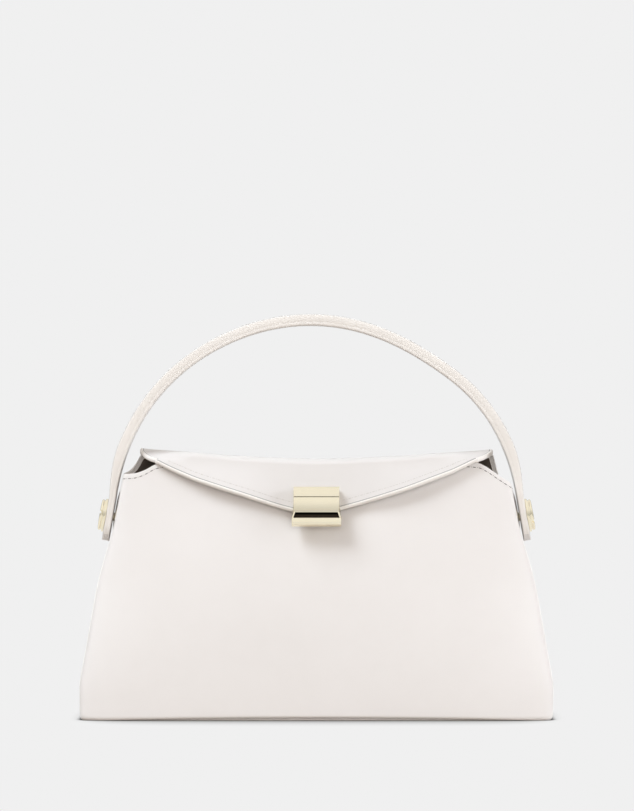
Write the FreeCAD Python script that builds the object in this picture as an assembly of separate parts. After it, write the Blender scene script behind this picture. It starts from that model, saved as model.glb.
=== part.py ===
"""Top handle bag in cream leather with a gold clasp.

Millimetres, +Z up, front towards -Y, standing on z = 0 with the middle of its base at the origin.
Each function below makes one sub-assembly from the driving sizes and returns its named solids.
"""

import math
import os

import FreeCAD
import Part

Vec = FreeCAD.Vector
X_AXIS = Vec(1, 0, 0)
Y_AXIS = Vec(0, 1, 0)
Z_AXIS = Vec(0, 0, 1)

# Body: overall sizes of the leather form, from the base to the section where its sides would meet the rim
base_width = 260.0
base_depth = 100.0
waist_depth = 64.0
rim_width = 207.4
rim_depth = 18.0
form_height = 152.0
face_radius = 1800.0
base_corner = 14.0
rim_corner = 5.0

# Body: top edges of the panels and the seam between panels and gussets
back_height = 146.0
back_top_width = 192.0
front_height = 142.0
corner_height = 132.0
gusset_height = 131.0
seam_base = 30.0
seam_rim = 3.0

# Body: layers
leather = 2.0
lining_thickness = 1.4
base_leather = 2.0
board_thickness = 2.0
board_clearance = 0.5
facing_bottom = 100.0

# Slip pocket inside the back
pocket_width = 130.0
pocket_bottom = 36.0
pocket_top = 96.0
pocket_thickness = 1.0
pocket_clearance = 0.1

# Flap
flap_outer_thickness = 1.3
flap_lining_thickness = 0.9
flap_rise = 3.4
flap_stand = 0.3
flap_fold_radius = 6.0
flap_hinge_width = 190.0
flap_fold_width = 178.0
flap_shoulder_width = 144.0
flap_shoulder_height = 134.0
flap_slant_width = 90.0
flap_slant_height = 123.3
flap_tip_height = 112.5
flap_tip_width = 12.0
flap_gap_top = 1.2
flap_gap_tip = 3.4
flap_seam_gap = 0.4

# Clasp, measured on the slanting face of the flap
clasp_middle_height = 115.1
clasp_width = 25.0
clasp_lip_width = 27.0
clasp_height = 22.6
clasp_plate = 1.2
clasp_depth = 6.0
clasp_bar_height = 6.4
clasp_bar_round = 1.4
lever_gap = 0.35
lever_waist = 2.6
lever_lip_radius = 2.4
knuckle_radius = 2.2
pin_radius = 0.7
lug_offset = 7.0
lug_width = 2.6
lug_radius = 1.4
lug_clearance = 0.3
lever_swing = 50.0
clasp_back_plate_width = 22.0
clasp_back_plate_height = 14.6
clasp_back_plate_thickness = 0.7
magnet_radius = 5.0
magnet_up = 2.4
magnet_stand = 0.4
screw_radius = 0.9
screw_head_radius = 1.6
screw_head = 0.4
screw_offset = 8.0
screw_grip = 3.0

# Catch on the front panel, under the clasp
catch_height = 117.5
catch_radius = 9.0
catch_thickness = 0.8
catch_back_thickness = 0.7
catch_rivet_radius = 0.9
catch_rivet_offset = 6.0

# Handle
handle_crown = 217.0
handle_width = 18.0
handle_strip = 1.6
handle_core = 2.8
handle_core_end = 0.7
pivot_height = 111.0
tab_gap = 2.3
tab_tail = 14.0
tab_corner = 8.0

# Studs, eyelets and patches at the ends of the handle
stud_radius = 9.2
stud_rim = 1.5
stud_groove = 0.4
stud_groove_depth = 1.0
stud_cap = 1.3
stud_cap_radius = 8.6
stud_dish = 0.5
post_radius = 2.4
post_clearance = 0.35
eyelet_wall = 0.8
eyelet_flange_radius = 6.0
eyelet_flange = 0.5
patch_radius = 11.0
patch_thickness = 0.8
nut_radius = 4.6
nut_thickness = 3.0
nut_clearance = 0.5
post_stub = 0.8

# Longer than twice the bag, for cutting tools
REACH = 2 * (base_width + handle_crown)

flap_thickness = flap_outer_thickness + flap_lining_thickness
flap_back_radius = flap_rise - flap_seam_gap - flap_stand
side_slope = (base_width - rim_width) / 2 / form_height
side_lean = math.atan(side_slope)
tab_end_height = pivot_height - tab_tail

# Faces of the handle's layers: how far each lies outside the inner face, at the crown and at the tabs
handle_inner_face = (0, 0)
handle_under_core = (handle_strip, handle_strip)
handle_over_core = (handle_strip + handle_core, handle_strip + handle_core_end)
handle_outer_face = (2 * handle_strip + handle_core, 2 * handle_strip + handle_core_end)


def half_width(height):
    """Half the width of the leather form at a height."""
    return base_width / 2 - side_slope * height


def arch_radius():
    """Radius of the handle's inner face, whose tabs stand a gap off the gussets at the pivot."""
    tab_x = half_width(pivot_height) + tab_gap
    rise = handle_crown - pivot_height
    return (tab_x - rise * side_slope) / (1 / math.cos(side_lean) - side_slope)


def half_depth(height):
    """Half the depth of the leather form at a height, on the curve through base, waist and rim."""
    share = height / form_height
    at_base = (share - 0.5) * (share - 1) / 0.5
    at_waist = share * (1 - share) / 0.25
    at_rim = share * (share - 0.5) / 0.5
    return (base_depth * at_base + waist_depth * at_waist + rim_depth * at_rim) / 2


def section(height, inset):
    """Level outline of the form: two straight sides, two bowed faces and four round corners."""
    side = half_width(height)
    face = half_depth(height)
    corner = base_corner + (rim_corner - base_corner) * height / form_height
    reach = math.sqrt((face_radius - corner) ** 2 - (side - corner) ** 2)
    face_middle = face_radius - face
    corner_x = side - corner
    corner_y = reach - face_middle
    turn = math.atan2(corner_x, reach)
    radius = corner - inset
    side -= inset
    join_x = corner_x + radius * math.sin(turn)
    join_y = corner_y + radius * math.cos(turn)
    half_turn = (math.pi / 2 - turn) / 2
    mid_x = corner_x + radius * math.cos(half_turn)
    mid_y = corner_y + radius * math.sin(half_turn)

    def point(x, y):
        return Vec(x, y, height)

    edges = []
    for sign in (1, -1):
        edges.append(Part.LineSegment(point(sign * side, -sign * corner_y),
                                      point(sign * side, sign * corner_y)))
        edges.append(Part.Arc(point(sign * side, sign * corner_y),
                              point(sign * mid_x, sign * mid_y),
                              point(sign * join_x, sign * join_y)))
        edges.append(Part.Arc(point(sign * join_x, sign * join_y),
                              point(0, sign * (face - inset)),
                              point(-sign * join_x, sign * join_y)))
        edges.append(Part.Arc(point(-sign * join_x, sign * join_y),
                              point(-sign * mid_x, sign * mid_y),
                              point(-sign * side, sign * corner_y)))
    return Part.Wire([edge.toShape() for edge in edges])


def form(inset):
    """Leather form of the whole body, drawn in by an inset, or grown where it is negative."""
    heights = (0, form_height / 2, form_height)
    return Part.makeLoft([section(height, inset) for height in heights], True)


def layer(outer, inner):
    """Skin between two insets of the form."""
    return form(outer).cut(form(inner))


def slab(bottom, top):
    """Everything between two levels."""
    return Part.makeBox(REACH, REACH, top - bottom, Vec(-REACH / 2, -REACH / 2, bottom))


def prism(points, direction):
    """Straight-sided solid on a closed polygon, centred along a direction."""
    face = Part.Face(Part.makePolygon(points + points[:1]))
    solid = face.extrude(direction * REACH)
    solid.translate(direction * (-REACH / 2))
    return solid


def rod(radius, start, end):
    """Round rod between two points."""
    run = end - start
    return Part.makeCylinder(radius, run.Length, start, run)


def outline(edges):
    """Face inside a closed run of lines and arcs."""
    return Part.Face(Part.Wire([edge.toShape() for edge in edges]))


def seam_at(height):
    """Distance of the seam between panel and gusset from the middle plane."""
    return seam_base + (seam_rim - seam_base) * height / form_height


def front_zone():
    """Space of the front panel: in front of the seams and under its arched top edge."""
    edge = half_width(corner_height)
    far = REACH / 2
    top = outline([
        Part.LineSegment(Vec(-far, -far, 0), Vec(far, -far, 0)),
        Part.LineSegment(Vec(far, -far, 0), Vec(far, -far, corner_height)),
        Part.LineSegment(Vec(far, -far, corner_height), Vec(edge, -far, corner_height)),
        Part.Arc(Vec(edge, -far, corner_height), Vec(0, -far, front_height),
                 Vec(-edge, -far, corner_height)),
        Part.LineSegment(Vec(-edge, -far, corner_height), Vec(-far, -far, corner_height)),
        Part.LineSegment(Vec(-far, -far, corner_height), Vec(-far, -far, 0)),
    ]).extrude(Y_AXIS * far)
    return top.common(panel_side(-1))


def back_zone():
    """Space of the back panel: behind the seams and under its shouldered top edge."""
    far = REACH / 2
    edge = half_width(corner_height)
    half_top = back_top_width / 2
    top = prism([Vec(-far, 0, 0), Vec(far, 0, 0), Vec(far, 0, corner_height), Vec(edge, 0, corner_height),
                 Vec(half_top, 0, back_height), Vec(-half_top, 0, back_height),
                 Vec(-edge, 0, corner_height), Vec(-far, 0, corner_height)], Y_AXIS)
    return top.common(panel_side(1))


def panel_side(sign):
    """Everything beyond the two seams on the front (-1) or on the back (1)."""
    far = REACH / 2
    return prism([Vec(0, sign * seam_at(0), 0), Vec(0, sign * far, 0), Vec(0, sign * far, form_height),
                  Vec(0, sign * seam_at(form_height), form_height)], X_AXIS)


def gusset_zone():
    """Space between the seams, under the top edge of the gussets."""
    low = seam_at(0)
    high = seam_at(gusset_height)
    return prism([Vec(0, -low, 0), Vec(0, low, 0), Vec(0, high, gusset_height),
                  Vec(0, -high, gusset_height)], X_AXIS)


def half_space(sign):
    """Everything on the left (-1) or on the right (1)."""
    start = Vec(0 if sign > 0 else -REACH, -REACH / 2, 0)
    return Part.makeBox(REACH, REACH, REACH, start)


def across(radius, sign):
    """Rod along the pivot axis, from the middle of the bag to well outside."""
    return rod(radius, Vec(0, 0, pivot_height), Vec(sign * REACH / 2, 0, pivot_height))


def catch_rods(radius):
    """Two rods through the front panel where the catch is riveted."""
    rods = []
    for sign in (-1, 1):
        x = sign * catch_rivet_offset
        rods.append(rod(radius, Vec(x, 0, catch_height), Vec(x, -REACH / 2, catch_height)))
    return rods


def body():
    """Panels, gussets, floor, lining, facing, pocket, catch and the fittings of the handle."""
    shell = layer(0, leather)
    zones = {"front_panel": front_zone(), "back_panel": back_zone(), "gussets": gusset_zone()}
    nodes = {}
    nodes["front_panel"] = shell.common(zones["front_panel"])
    nodes["back_panel"] = shell.common(zones["back_panel"])
    gussets = shell.common(zones["gussets"])

    floor_top = base_leather + board_thickness
    nodes["base_panel"] = form(leather).common(slab(0, base_leather))
    nodes["base_board"] = form(leather + board_clearance).common(slab(base_leather, floor_top))

    inside = leather + lining_thickness
    below_mouth = zones["front_panel"].fuse([zones["back_panel"], zones["gussets"]])
    inner_skin = layer(leather, inside).common(below_mouth)
    floor_skin = form(inside).common(slab(floor_top, floor_top + lining_thickness))
    lining = inner_skin.common(slab(floor_top, facing_bottom)).fuse(floor_skin).removeSplitter()
    facing = inner_skin.common(slab(facing_bottom, form_height))
    pocket_room = Part.makeBox(pocket_width, REACH, pocket_top - pocket_bottom,
                               Vec(-pocket_width / 2, 0, pocket_bottom))
    pocket_inset = inside + pocket_clearance
    nodes["slip_pocket"] = layer(pocket_inset, pocket_inset + pocket_thickness).common(pocket_room)

    disc = rod(catch_radius, Vec(0, 0, catch_height), Vec(0, -REACH / 2, catch_height))
    rods = catch_rods(catch_rivet_radius)
    back_inset = leather + catch_back_thickness
    nodes["catch_plate"] = layer(-catch_thickness, 0).common(disc).cut(rods)
    nodes["catch_back_plate"] = layer(leather, back_inset).common(disc).cut(rods)
    rivet_span = layer(-catch_thickness, back_inset)
    nodes["catch_rivets"] = Part.Compound([rivet_span.common(one) for one in rods])
    nodes["front_panel"] = nodes["front_panel"].cut(rods)
    facing = facing.cut(rivet_span.common(disc))

    for side, sign in (("left", -1), ("right", 1)):
        bore = across(post_radius + post_clearance, sign)
        sleeve = across(post_radius + post_clearance + eyelet_wall, sign)
        flange = layer(-eyelet_flange, 0).common(across(eyelet_flange_radius, sign))
        eyelet = layer(-eyelet_flange, inside).common(sleeve).fuse(flange).cut(bore)
        patch = layer(leather, leather + patch_thickness).common(across(patch_radius, sign)).cut(sleeve)
        nodes[side + "_gusset"] = gussets.common(half_space(sign)).cut(sleeve)
        nodes[side + "_eyelet"] = eyelet
        nodes[side + "_anchor_patch"] = patch
        facing = facing.cut([sleeve, patch])
        lining = lining.cut([sleeve, patch])

    nodes["lining"] = lining
    nodes["mouth_facing"] = facing
    return nodes


def flap_corners(depth):
    """Corners of the flap's profile at a depth under its outer face, from the hinge to below the tip."""
    hinge_y = half_depth(back_height)
    low = back_height + flap_seam_gap
    top = back_height + flap_rise
    upper = Vec(0, -half_depth(front_height) - flap_gap_top, front_height)
    lower = Vec(0, -half_depth(flap_tip_height) - flap_gap_tip, flap_tip_height)
    down = (lower - upper).normalize()
    outward = Vec(0, down.z, -down.y)
    step = flap_thickness - depth
    on_face = upper + outward * step
    fold = on_face + down * ((top - depth - on_face.z) / down.z)
    end = lower + outward * step + down * clasp_height
    return [Vec(0, hinge_y - depth, low), Vec(0, hinge_y - depth, top - depth), fold, end], down, outward


def rounded(points, radii):
    """Lines through the points, with a tangent arc at each inner point."""
    edges = []
    start = points[0]
    for index, radius in enumerate(radii, start=1):
        corner = points[index]
        before = (points[index - 1] - corner).normalize()
        after = (points[index + 1] - corner).normalize()
        half_angle = before.getAngle(after) / 2
        trim = radius / math.tan(half_angle)
        bisector = (before + after).normalize()
        middle = corner + bisector * (radius / math.sin(half_angle) - radius)
        edges.append(Part.LineSegment(start, corner + before * trim))
        edges.append(Part.Arc(corner + before * trim, middle, corner + after * trim))
        start = corner + after * trim
    edges.append(Part.LineSegment(start, points[-1]))
    return edges


def flap_layer(outer, inner):
    """Bent band of the flap between two depths, across the whole width."""
    sides = []
    for depth in (outer, inner):
        points = flap_corners(depth)[0]
        sides.append((points, rounded(points, (flap_back_radius - depth, flap_fold_radius - depth))))
    (first, first_edges), (second, second_edges) = sides
    ends = [Part.LineSegment(first[0], second[0]), Part.LineSegment(first[-1], second[-1])]
    wire = Part.Wire(Part.__sortEdges__([edge.toShape() for edge in first_edges + second_edges + ends]))
    solid = Part.Face(wire).extrude(X_AXIS * REACH)
    solid.translate(X_AXIS * (-REACH / 2))
    return solid


def flap_outline():
    """Wide V seen from the front, and the taper from hinge to fold seen from above."""
    far = REACH / 2
    low = back_height
    right = [Vec(flap_hinge_width / 2, far, low), Vec(flap_fold_width / 2, far, low),
             Vec(flap_shoulder_width / 2, far, flap_shoulder_height),
             Vec(flap_slant_width / 2, far, flap_slant_height),
             Vec(flap_tip_width / 2, far, flap_tip_height)]
    left = [Vec(-point.x, point.y, point.z) for point in right]
    right_top = Vec(flap_hinge_width / 2, far, far)
    left_top = Vec(-flap_hinge_width / 2, far, far)
    front = outline([
        Part.LineSegment(left_top, right_top),
        Part.LineSegment(right_top, right[0]),
        Part.LineSegment(right[0], right[1]),
        Part.Arc(right[1], right[2], right[3]),
        Part.LineSegment(right[3], right[4]),
        Part.LineSegment(right[4], left[4]),
        Part.LineSegment(left[4], left[3]),
        Part.Arc(left[3], left[2], left[1]),
        Part.LineSegment(left[1], left[0]),
        Part.LineSegment(left[0], left_top),
    ]).extrude(Y_AXIS * -REACH)
    corners = flap_corners(0)[0]
    hinge_y = corners[0].y
    fold_y = corners[2].y
    half_hinge = flap_hinge_width / 2
    half_fold = flap_fold_width / 2
    plan = prism([Vec(half_hinge, far, 0), Vec(half_hinge, hinge_y, 0), Vec(half_fold, fold_y, 0),
                  Vec(half_fold, -far, 0), Vec(-half_fold, -far, 0), Vec(-half_fold, fold_y, 0),
                  Vec(-half_hinge, hinge_y, 0), Vec(-half_hinge, far, 0)], Z_AXIS)
    return front.common(plan)


def clasp_frame():
    """Placement of the clasp: x across, y up the slanting flap, z straight out of its outer face."""
    corners, down, outward = flap_corners(0)
    fold = corners[2]
    origin = fold + down * ((clasp_middle_height - fold.z) / down.z)
    turn = FreeCAD.Rotation(X_AXIS, down * -1, outward, "XZY")
    return FreeCAD.Placement(origin, turn)


def clasp_block(width, bottom, top, low, high):
    """Box on the clasp's own axes, centred across."""
    return Part.makeBox(width, top - bottom, high - low, Vec(-width / 2, bottom, low))


def clasp_levels():
    """Heights on the clasp's own axes: lower end, pin axis, upper end, and how far the pin stands out."""
    top = clasp_height / 2
    pin_up = top - clasp_bar_height - knuckle_radius / 2
    pin_out = clasp_plate + lever_gap + knuckle_radius
    return -top, pin_up, top, pin_out


def clasp_base():
    """Back plate with the fixed upper bar and the two lugs that hold the pin."""
    bottom, pin_up, top, pin_out = clasp_levels()
    bar_bottom = top - clasp_bar_height
    plate_bottom = bottom + lever_lip_radius
    bar = clasp_block(clasp_width, bar_bottom, top, 0, clasp_depth)
    outer_edges = [edge for edge in bar.Edges
                   if edge.BoundBox.ZMin > clasp_depth / 2 or edge.BoundBox.YMin > top - clasp_bar_round]
    outer_edges = [edge for edge in outer_edges if edge.BoundBox.ZMax > clasp_depth / 2]
    bar = bar.makeFillet(clasp_bar_round, outer_edges)
    relief = rod(knuckle_radius + lever_gap, Vec(-clasp_lip_width, pin_up, pin_out),
                 Vec(clasp_lip_width, pin_up, pin_out))
    base = bar.cut(relief).fuse(clasp_block(clasp_width, plate_bottom, top - clasp_bar_round, 0, clasp_plate))
    for sign in (-1, 1):
        x = sign * lug_offset
        lug = clasp_block(lug_width, pin_up - lug_radius, pin_up + lug_radius, 0, pin_out)
        lug.translate(Vec(x, 0, 0))
        cheek = rod(lug_radius, Vec(x - lug_width / 2, pin_up, pin_out), Vec(x + lug_width / 2, pin_up, pin_out))
        base = base.fuse([lug, cheek])
    return base.cut(clasp_pin()).cut(clasp_screw_rods(screw_radius)).removeSplitter()


def clasp_pin():
    """Hinge pin of the lever, running through the lugs."""
    pin_up, pin_out = clasp_levels()[1], clasp_levels()[3]
    reach = lug_offset + lug_width
    return rod(pin_radius, Vec(-reach, pin_up, pin_out), Vec(reach, pin_up, pin_out))


def clasp_lever():
    """Lift tab: a knuckle round the pin, a hollow face and a round lip, widening downwards."""
    bottom, pin_up, _, pin_out = clasp_levels()
    back = clasp_plate + lever_gap
    lip_up = bottom + lever_lip_radius
    lip_out = clasp_depth - lever_lip_radius
    waist_up = (pin_up + lip_up) / 2
    profile = outline([
        Part.LineSegment(Vec(0, pin_up, back), Vec(0, lip_up, back)),
        Part.LineSegment(Vec(0, lip_up, back), Vec(0, bottom, lip_out)),
        Part.Arc(Vec(0, bottom, lip_out),
                 Vec(0, lip_up - lever_lip_radius * math.sqrt(0.5), lip_out + lever_lip_radius * math.sqrt(0.5)),
                 Vec(0, lip_up, clasp_depth)),
        Part.Arc(Vec(0, lip_up, clasp_depth), Vec(0, waist_up, back + lever_waist),
                 Vec(0, pin_up, pin_out + knuckle_radius)),
        Part.Arc(Vec(0, pin_up, pin_out + knuckle_radius), Vec(0, pin_up + knuckle_radius, pin_out),
                 Vec(0, pin_up, back)),
    ])
    lever = profile.extrude(X_AXIS * clasp_lip_width)
    lever.translate(X_AXIS * (-clasp_lip_width / 2))
    half_top = clasp_width / 2
    half_lip = clasp_lip_width / 2
    high = pin_up + knuckle_radius
    sides = prism([Vec(-half_lip, bottom, 0), Vec(half_lip, bottom, 0), Vec(half_top, high, 0),
                   Vec(-half_top, high, 0)], Z_AXIS)
    lever = lever.common(sides)
    for sign in (-1, 1):
        x = sign * lug_offset
        width = lug_width + 2 * lug_clearance
        start = Vec(x - width / 2, pin_up, pin_out)
        round_room = rod(lug_radius + lug_clearance, start, start + X_AXIS * width)
        lever = lever.cut(round_room)
        for swing in (0, lever_swing / 2, lever_swing):
            room = clasp_block(width, pin_up - lug_radius - lug_clearance, pin_up + lug_radius + lug_clearance,
                               0, pin_out)
            room.translate(Vec(x, 0, 0))
            room.rotate(Vec(x, pin_up, pin_out), X_AXIS, swing)
            lever = lever.cut(room)
    return lever.cut(rod(pin_radius + lug_clearance, Vec(-clasp_lip_width, pin_up, pin_out),
                         Vec(clasp_lip_width, pin_up, pin_out)))


def clasp_screw_rods(radius):
    """Two rods through the flap where the back plate is screwed to the bar."""
    top = clasp_height / 2
    up = top - clasp_bar_height / 2
    low = -flap_thickness - clasp_back_plate_thickness
    return [rod(radius, Vec(sign * screw_offset, up, low), Vec(sign * screw_offset, up, screw_grip))
            for sign in (-1, 1)]


def flap():
    """Flap layers and the clasp on its tip."""
    place = clasp_frame()

    def placed(shape):
        moved = shape.copy()
        moved.Placement = place.multiply(moved.Placement)
        return moved

    shape = flap_outline()
    top = clasp_height / 2
    under = -flap_thickness
    plate_low = under - clasp_back_plate_thickness
    plate_top = top - screw_head_radius / 2
    screws = []
    for one in clasp_screw_rods(screw_radius):
        start = one.BoundBox.Center
        head = rod(screw_head_radius, Vec(start.x, start.y, plate_low - screw_head),
                   Vec(start.x, start.y, plate_low))
        screws.append(one.fuse(head).removeSplitter())
    shanks = [placed(one) for one in clasp_screw_rods(screw_radius)]
    magnet = rod(magnet_radius, Vec(0, magnet_up, plate_low - magnet_stand),
                 Vec(0, magnet_up, -flap_outer_thickness))
    plate = clasp_block(clasp_back_plate_width, plate_top - clasp_back_plate_height, plate_top, plate_low, under)
    nodes = {}
    nodes["flap_outer"] = flap_layer(0, flap_outer_thickness).common(shape).cut(shanks)
    nodes["flap_lining"] = flap_layer(flap_outer_thickness, flap_thickness).common(shape)
    nodes["flap_lining"] = nodes["flap_lining"].cut(shanks + [placed(magnet)])
    nodes["clasp_base"] = placed(clasp_base())
    nodes["clasp_pin"] = placed(clasp_pin())
    nodes["clasp_back_plate"] = placed(plate.cut(clasp_screw_rods(screw_radius) + [magnet]))
    nodes["clasp_magnet"] = placed(magnet)
    nodes["clasp_screws"] = Part.Compound([placed(one) for one in screws])
    nodes["clasp_lever"] = placed(clasp_lever())
    return nodes


def handle_shoulder(face):
    """Point where the arch of a face runs into the straight tab on the right."""
    at_crown, at_tab = face
    lift = (at_crown - at_tab) / (1 - math.sin(side_lean))
    centre = handle_crown - arch_radius() + lift
    radius = handle_crown + at_crown - centre
    return Vec(radius * math.cos(side_lean), 0, centre + radius * math.sin(side_lean))


def tab_face(face, height):
    """Distance of a face of the straight tab from the middle of the bag at a height."""
    shoulder = handle_shoulder(face)
    return shoulder.x + (shoulder.z - height) * side_slope


def handle_layer(inner, outer):
    """Arch between two faces, with its two straight tabs."""
    lines = []
    for face in (inner, outer):
        at_crown, at_tab = face
        shoulder = handle_shoulder(face)
        end_x = tab_face(handle_inner_face, tab_end_height) + at_tab * math.cos(side_lean)
        end = Vec(end_x, 0, tab_end_height + at_tab * math.sin(side_lean))
        crown = Vec(0, 0, handle_crown + at_crown)
        mirror = [Vec(-point.x, 0, point.z) for point in (shoulder, end)]
        lines.append((shoulder, end, crown, mirror))
    edges = []
    for shoulder, end, crown, mirror in lines:
        edges.append(Part.LineSegment(end, shoulder))
        edges.append(Part.Arc(shoulder, crown, mirror[0]))
        edges.append(Part.LineSegment(mirror[0], mirror[1]))
    edges.append(Part.LineSegment(lines[0][1], lines[1][1]))
    edges.append(Part.LineSegment(lines[0][3][1], lines[1][3][1]))
    wire = Part.Wire(Part.__sortEdges__([edge.toShape() for edge in edges]))
    solid = Part.Face(wire).extrude(Y_AXIS * handle_width)
    solid.translate(Y_AXIS * (-handle_width / 2))
    limit = tab_end_height + (outer[1] + handle_strip) * math.sin(side_lean)
    ends = [edge for edge in solid.Edges
            if edge.BoundBox.ZMax < limit and edge.BoundBox.YLength < handle_width / 2]
    return solid.makeFillet(tab_corner, ends)


def stud(sign):
    """Round stud in two tiers with a dished cap, on the post that turns in the eyelet."""
    height = stud_rim + stud_groove + stud_cap
    edge = stud_cap / 2
    waist = stud_radius - stud_groove_depth
    points = [Vec(0, 0, 0), Vec(stud_radius, 0, 0), Vec(stud_radius, 0, stud_rim), Vec(waist, 0, stud_rim),
              Vec(waist, 0, stud_rim + stud_groove), Vec(stud_cap_radius, 0, stud_rim + stud_groove),
              Vec(stud_cap_radius, 0, height - edge), Vec(stud_cap_radius - edge, 0, height),
              Vec(stud_cap_radius / 2, 0, height - stud_dish), Vec(0, 0, height - stud_dish)]
    head = Part.Face(Part.makePolygon(points + points[:1])).revolve(Vec(0, 0, 0), Z_AXIS, 360)
    seat_x = tab_face(handle_outer_face, pivot_height)
    lean = math.degrees(side_lean)
    head.rotate(Vec(0, 0, 0), Y_AXIS, 90 - lean)
    head.translate(Vec(seat_x, 0, pivot_height))
    inner_end = nut_face() - nut_thickness - post_stub
    post = rod(post_radius, Vec(inner_end, 0, pivot_height), Vec(seat_x + stud_rim / 2, 0, pivot_height))
    whole = head.fuse(post).removeSplitter()
    return whole if sign > 0 else whole.mirror(Vec(0, 0, 0), X_AXIS)


def nut_face():
    """Distance from the middle of the nut's outer face, clear of the leaning lining as it turns."""
    lining_x = half_width(pivot_height) - leather - lining_thickness
    return lining_x - nut_radius * side_slope - nut_clearance


def handle():
    """Three layers of the handle, its studs and their nuts."""
    layers = {"handle_lining": (handle_inner_face, handle_under_core),
              "handle_core": (handle_under_core, handle_over_core),
              "handle_outer": (handle_over_core, handle_outer_face)}
    nodes = {}
    posts = [across(post_radius, sign) for sign in (-1, 1)]
    for name, (inner, outer) in layers.items():
        nodes[name] = handle_layer(inner, outer).cut(posts)
    for side, sign in (("left", -1), ("right", 1)):
        face = nut_face()
        nut = rod(nut_radius, Vec(sign * (face - nut_thickness), 0, pivot_height), Vec(sign * face, 0, pivot_height))
        nodes[side + "_stud"] = stud(sign)
        nodes[side + "_stud_nut"] = nut.cut(across(post_radius, sign))
    return nodes


def main():
    """Build every node and write it as a STEP file."""
    os.makedirs("parts", exist_ok=True)
    nodes = {}
    for sub_assembly in (body, flap, handle):
        nodes.update(sub_assembly())
    for name, shape in nodes.items():
        shape.exportStep("parts/" + name + ".step")
        box = shape.BoundBox
        print(name, "solids", len(shape.Solids), "valid", shape.isValid(), "volume", round(shape.Volume, 1),
              "x", round(box.XMin, 2), round(box.XMax, 2), "y", round(box.YMin, 2), round(box.YMax, 2),
              "z", round(box.ZMin, 2), round(box.ZMax, 2))


main()
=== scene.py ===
"""Cream leather top handle bag: soft leather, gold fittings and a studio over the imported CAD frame.

Lengths are millimetres in the row frame of the CAD model (front towards -Y, +Z up) until a mesh is made,
and MM turns them into metres.
"""

import logging
import math
from collections.abc import Callable, Sequence
from dataclasses import dataclass, field
from enum import Enum
from functools import partial

import bpy
import numpy as np
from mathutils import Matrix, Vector

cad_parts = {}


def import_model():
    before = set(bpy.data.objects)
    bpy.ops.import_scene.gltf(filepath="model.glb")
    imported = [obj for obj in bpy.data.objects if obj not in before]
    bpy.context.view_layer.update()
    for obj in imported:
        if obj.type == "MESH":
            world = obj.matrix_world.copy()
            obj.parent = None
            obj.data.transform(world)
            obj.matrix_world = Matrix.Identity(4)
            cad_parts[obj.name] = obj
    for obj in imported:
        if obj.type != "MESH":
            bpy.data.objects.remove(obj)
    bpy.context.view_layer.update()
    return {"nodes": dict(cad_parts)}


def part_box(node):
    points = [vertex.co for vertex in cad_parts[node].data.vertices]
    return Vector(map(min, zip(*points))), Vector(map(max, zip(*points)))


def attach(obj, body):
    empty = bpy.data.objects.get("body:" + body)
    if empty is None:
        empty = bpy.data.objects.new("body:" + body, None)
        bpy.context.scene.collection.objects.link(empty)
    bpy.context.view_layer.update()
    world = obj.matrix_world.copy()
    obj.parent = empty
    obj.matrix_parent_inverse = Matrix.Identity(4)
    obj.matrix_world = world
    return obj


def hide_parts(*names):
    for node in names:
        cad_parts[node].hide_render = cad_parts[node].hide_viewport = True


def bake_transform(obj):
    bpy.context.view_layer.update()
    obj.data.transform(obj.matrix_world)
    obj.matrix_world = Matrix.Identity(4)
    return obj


MM = 0.001
LOG = logging.getLogger("bag")

# Share of a gusset beside a panel on the way round the bag
GUSSET_SHARE = 0.18

# Points of a swept or spun piece that lie closer than this are one
FINE_MERGE = 0.002

# Step of the shares, either way, over which a surface's direction is taken
NORMAL_STEP = 0.002

# Angles in degrees past which edges stay sharp on beads and bands, on broad sheets, and are rounded on rims
BEAD_ANGLE = 60.0
SHEET_ANGLE = 50.0
RIM_ANGLE = 60.0

# Thickness of the strip that lines the handle in the CAD model
HANDLE_STRIP = 1.6

Piece = bpy.types.Object
Tree = bpy.types.NodeTree
Socket = bpy.types.NodeSocket
Pair = tuple[float, float]
Point = tuple[float, float, float]
Colour = tuple[float, float, float]
Place = Callable[[float, float], Point]
Inputs = dict[str | int, Socket | Sequence[float] | float]


class Body(str, Enum):
    """Bodies of the CAD model that a piece can ride on."""

    BAG = "bag"
    FLAP = "flap"
    LEVER = "clasp_lever"
    HANDLE = "handle"


class Slot(str, Enum):
    """Material slots of the record."""

    LEATHER = "cream_leather"
    LINING = "dark_lining"
    GOLD = "gold"


class Side(Enum):
    """Front or back of the bag, as the sign of y."""

    FRONT = -1
    BACK = 1


# Small sums


def between(low: float, high: float, share: float) -> float:
    """Mix two values by a share from 0 to 1."""
    return low + (high - low) * share


def ease(low: float, high: float, value: float) -> float:
    """Rise smoothly from 0 at low to 1 at high."""
    share = min(max((value - low) / (high - low), 0.0), 1.0)
    return share * share * (3 - 2 * share)


def along_knots(knots: Sequence[Pair], value: float) -> float:
    """Read a smooth line through a few knots.

    Args:
        knots: Pairs of place and height, in rising order of place.
        value: Place at which the line is read; it is held at both ends.

    Returns:
        Height of the line, on a cubic with steady slopes at the knots.
    """
    places = [place for place, _ in knots]
    heights = [height for _, height in knots]
    if value <= places[0]:
        return heights[0]
    if value >= places[-1]:
        return heights[-1]
    spot = max(index for index, place in enumerate(places) if place <= value)
    span = places[spot + 1] - places[spot]

    def slope(index: int) -> float:
        """Slope at a knot, taken from its neighbours."""
        before, after = max(index - 1, 0), min(index + 1, len(places) - 1)
        return (heights[after] - heights[before]) / (places[after] - places[before])

    share = (value - places[spot]) / span
    rise = heights[spot + 1] - heights[spot]
    bend = slope(spot) * span - rise
    back_bend = rise - slope(spot + 1) * span
    curve = share * (1 - share) * (bend * (1 - share) + back_bend * share)
    return heights[spot] + rise * share + curve


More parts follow.
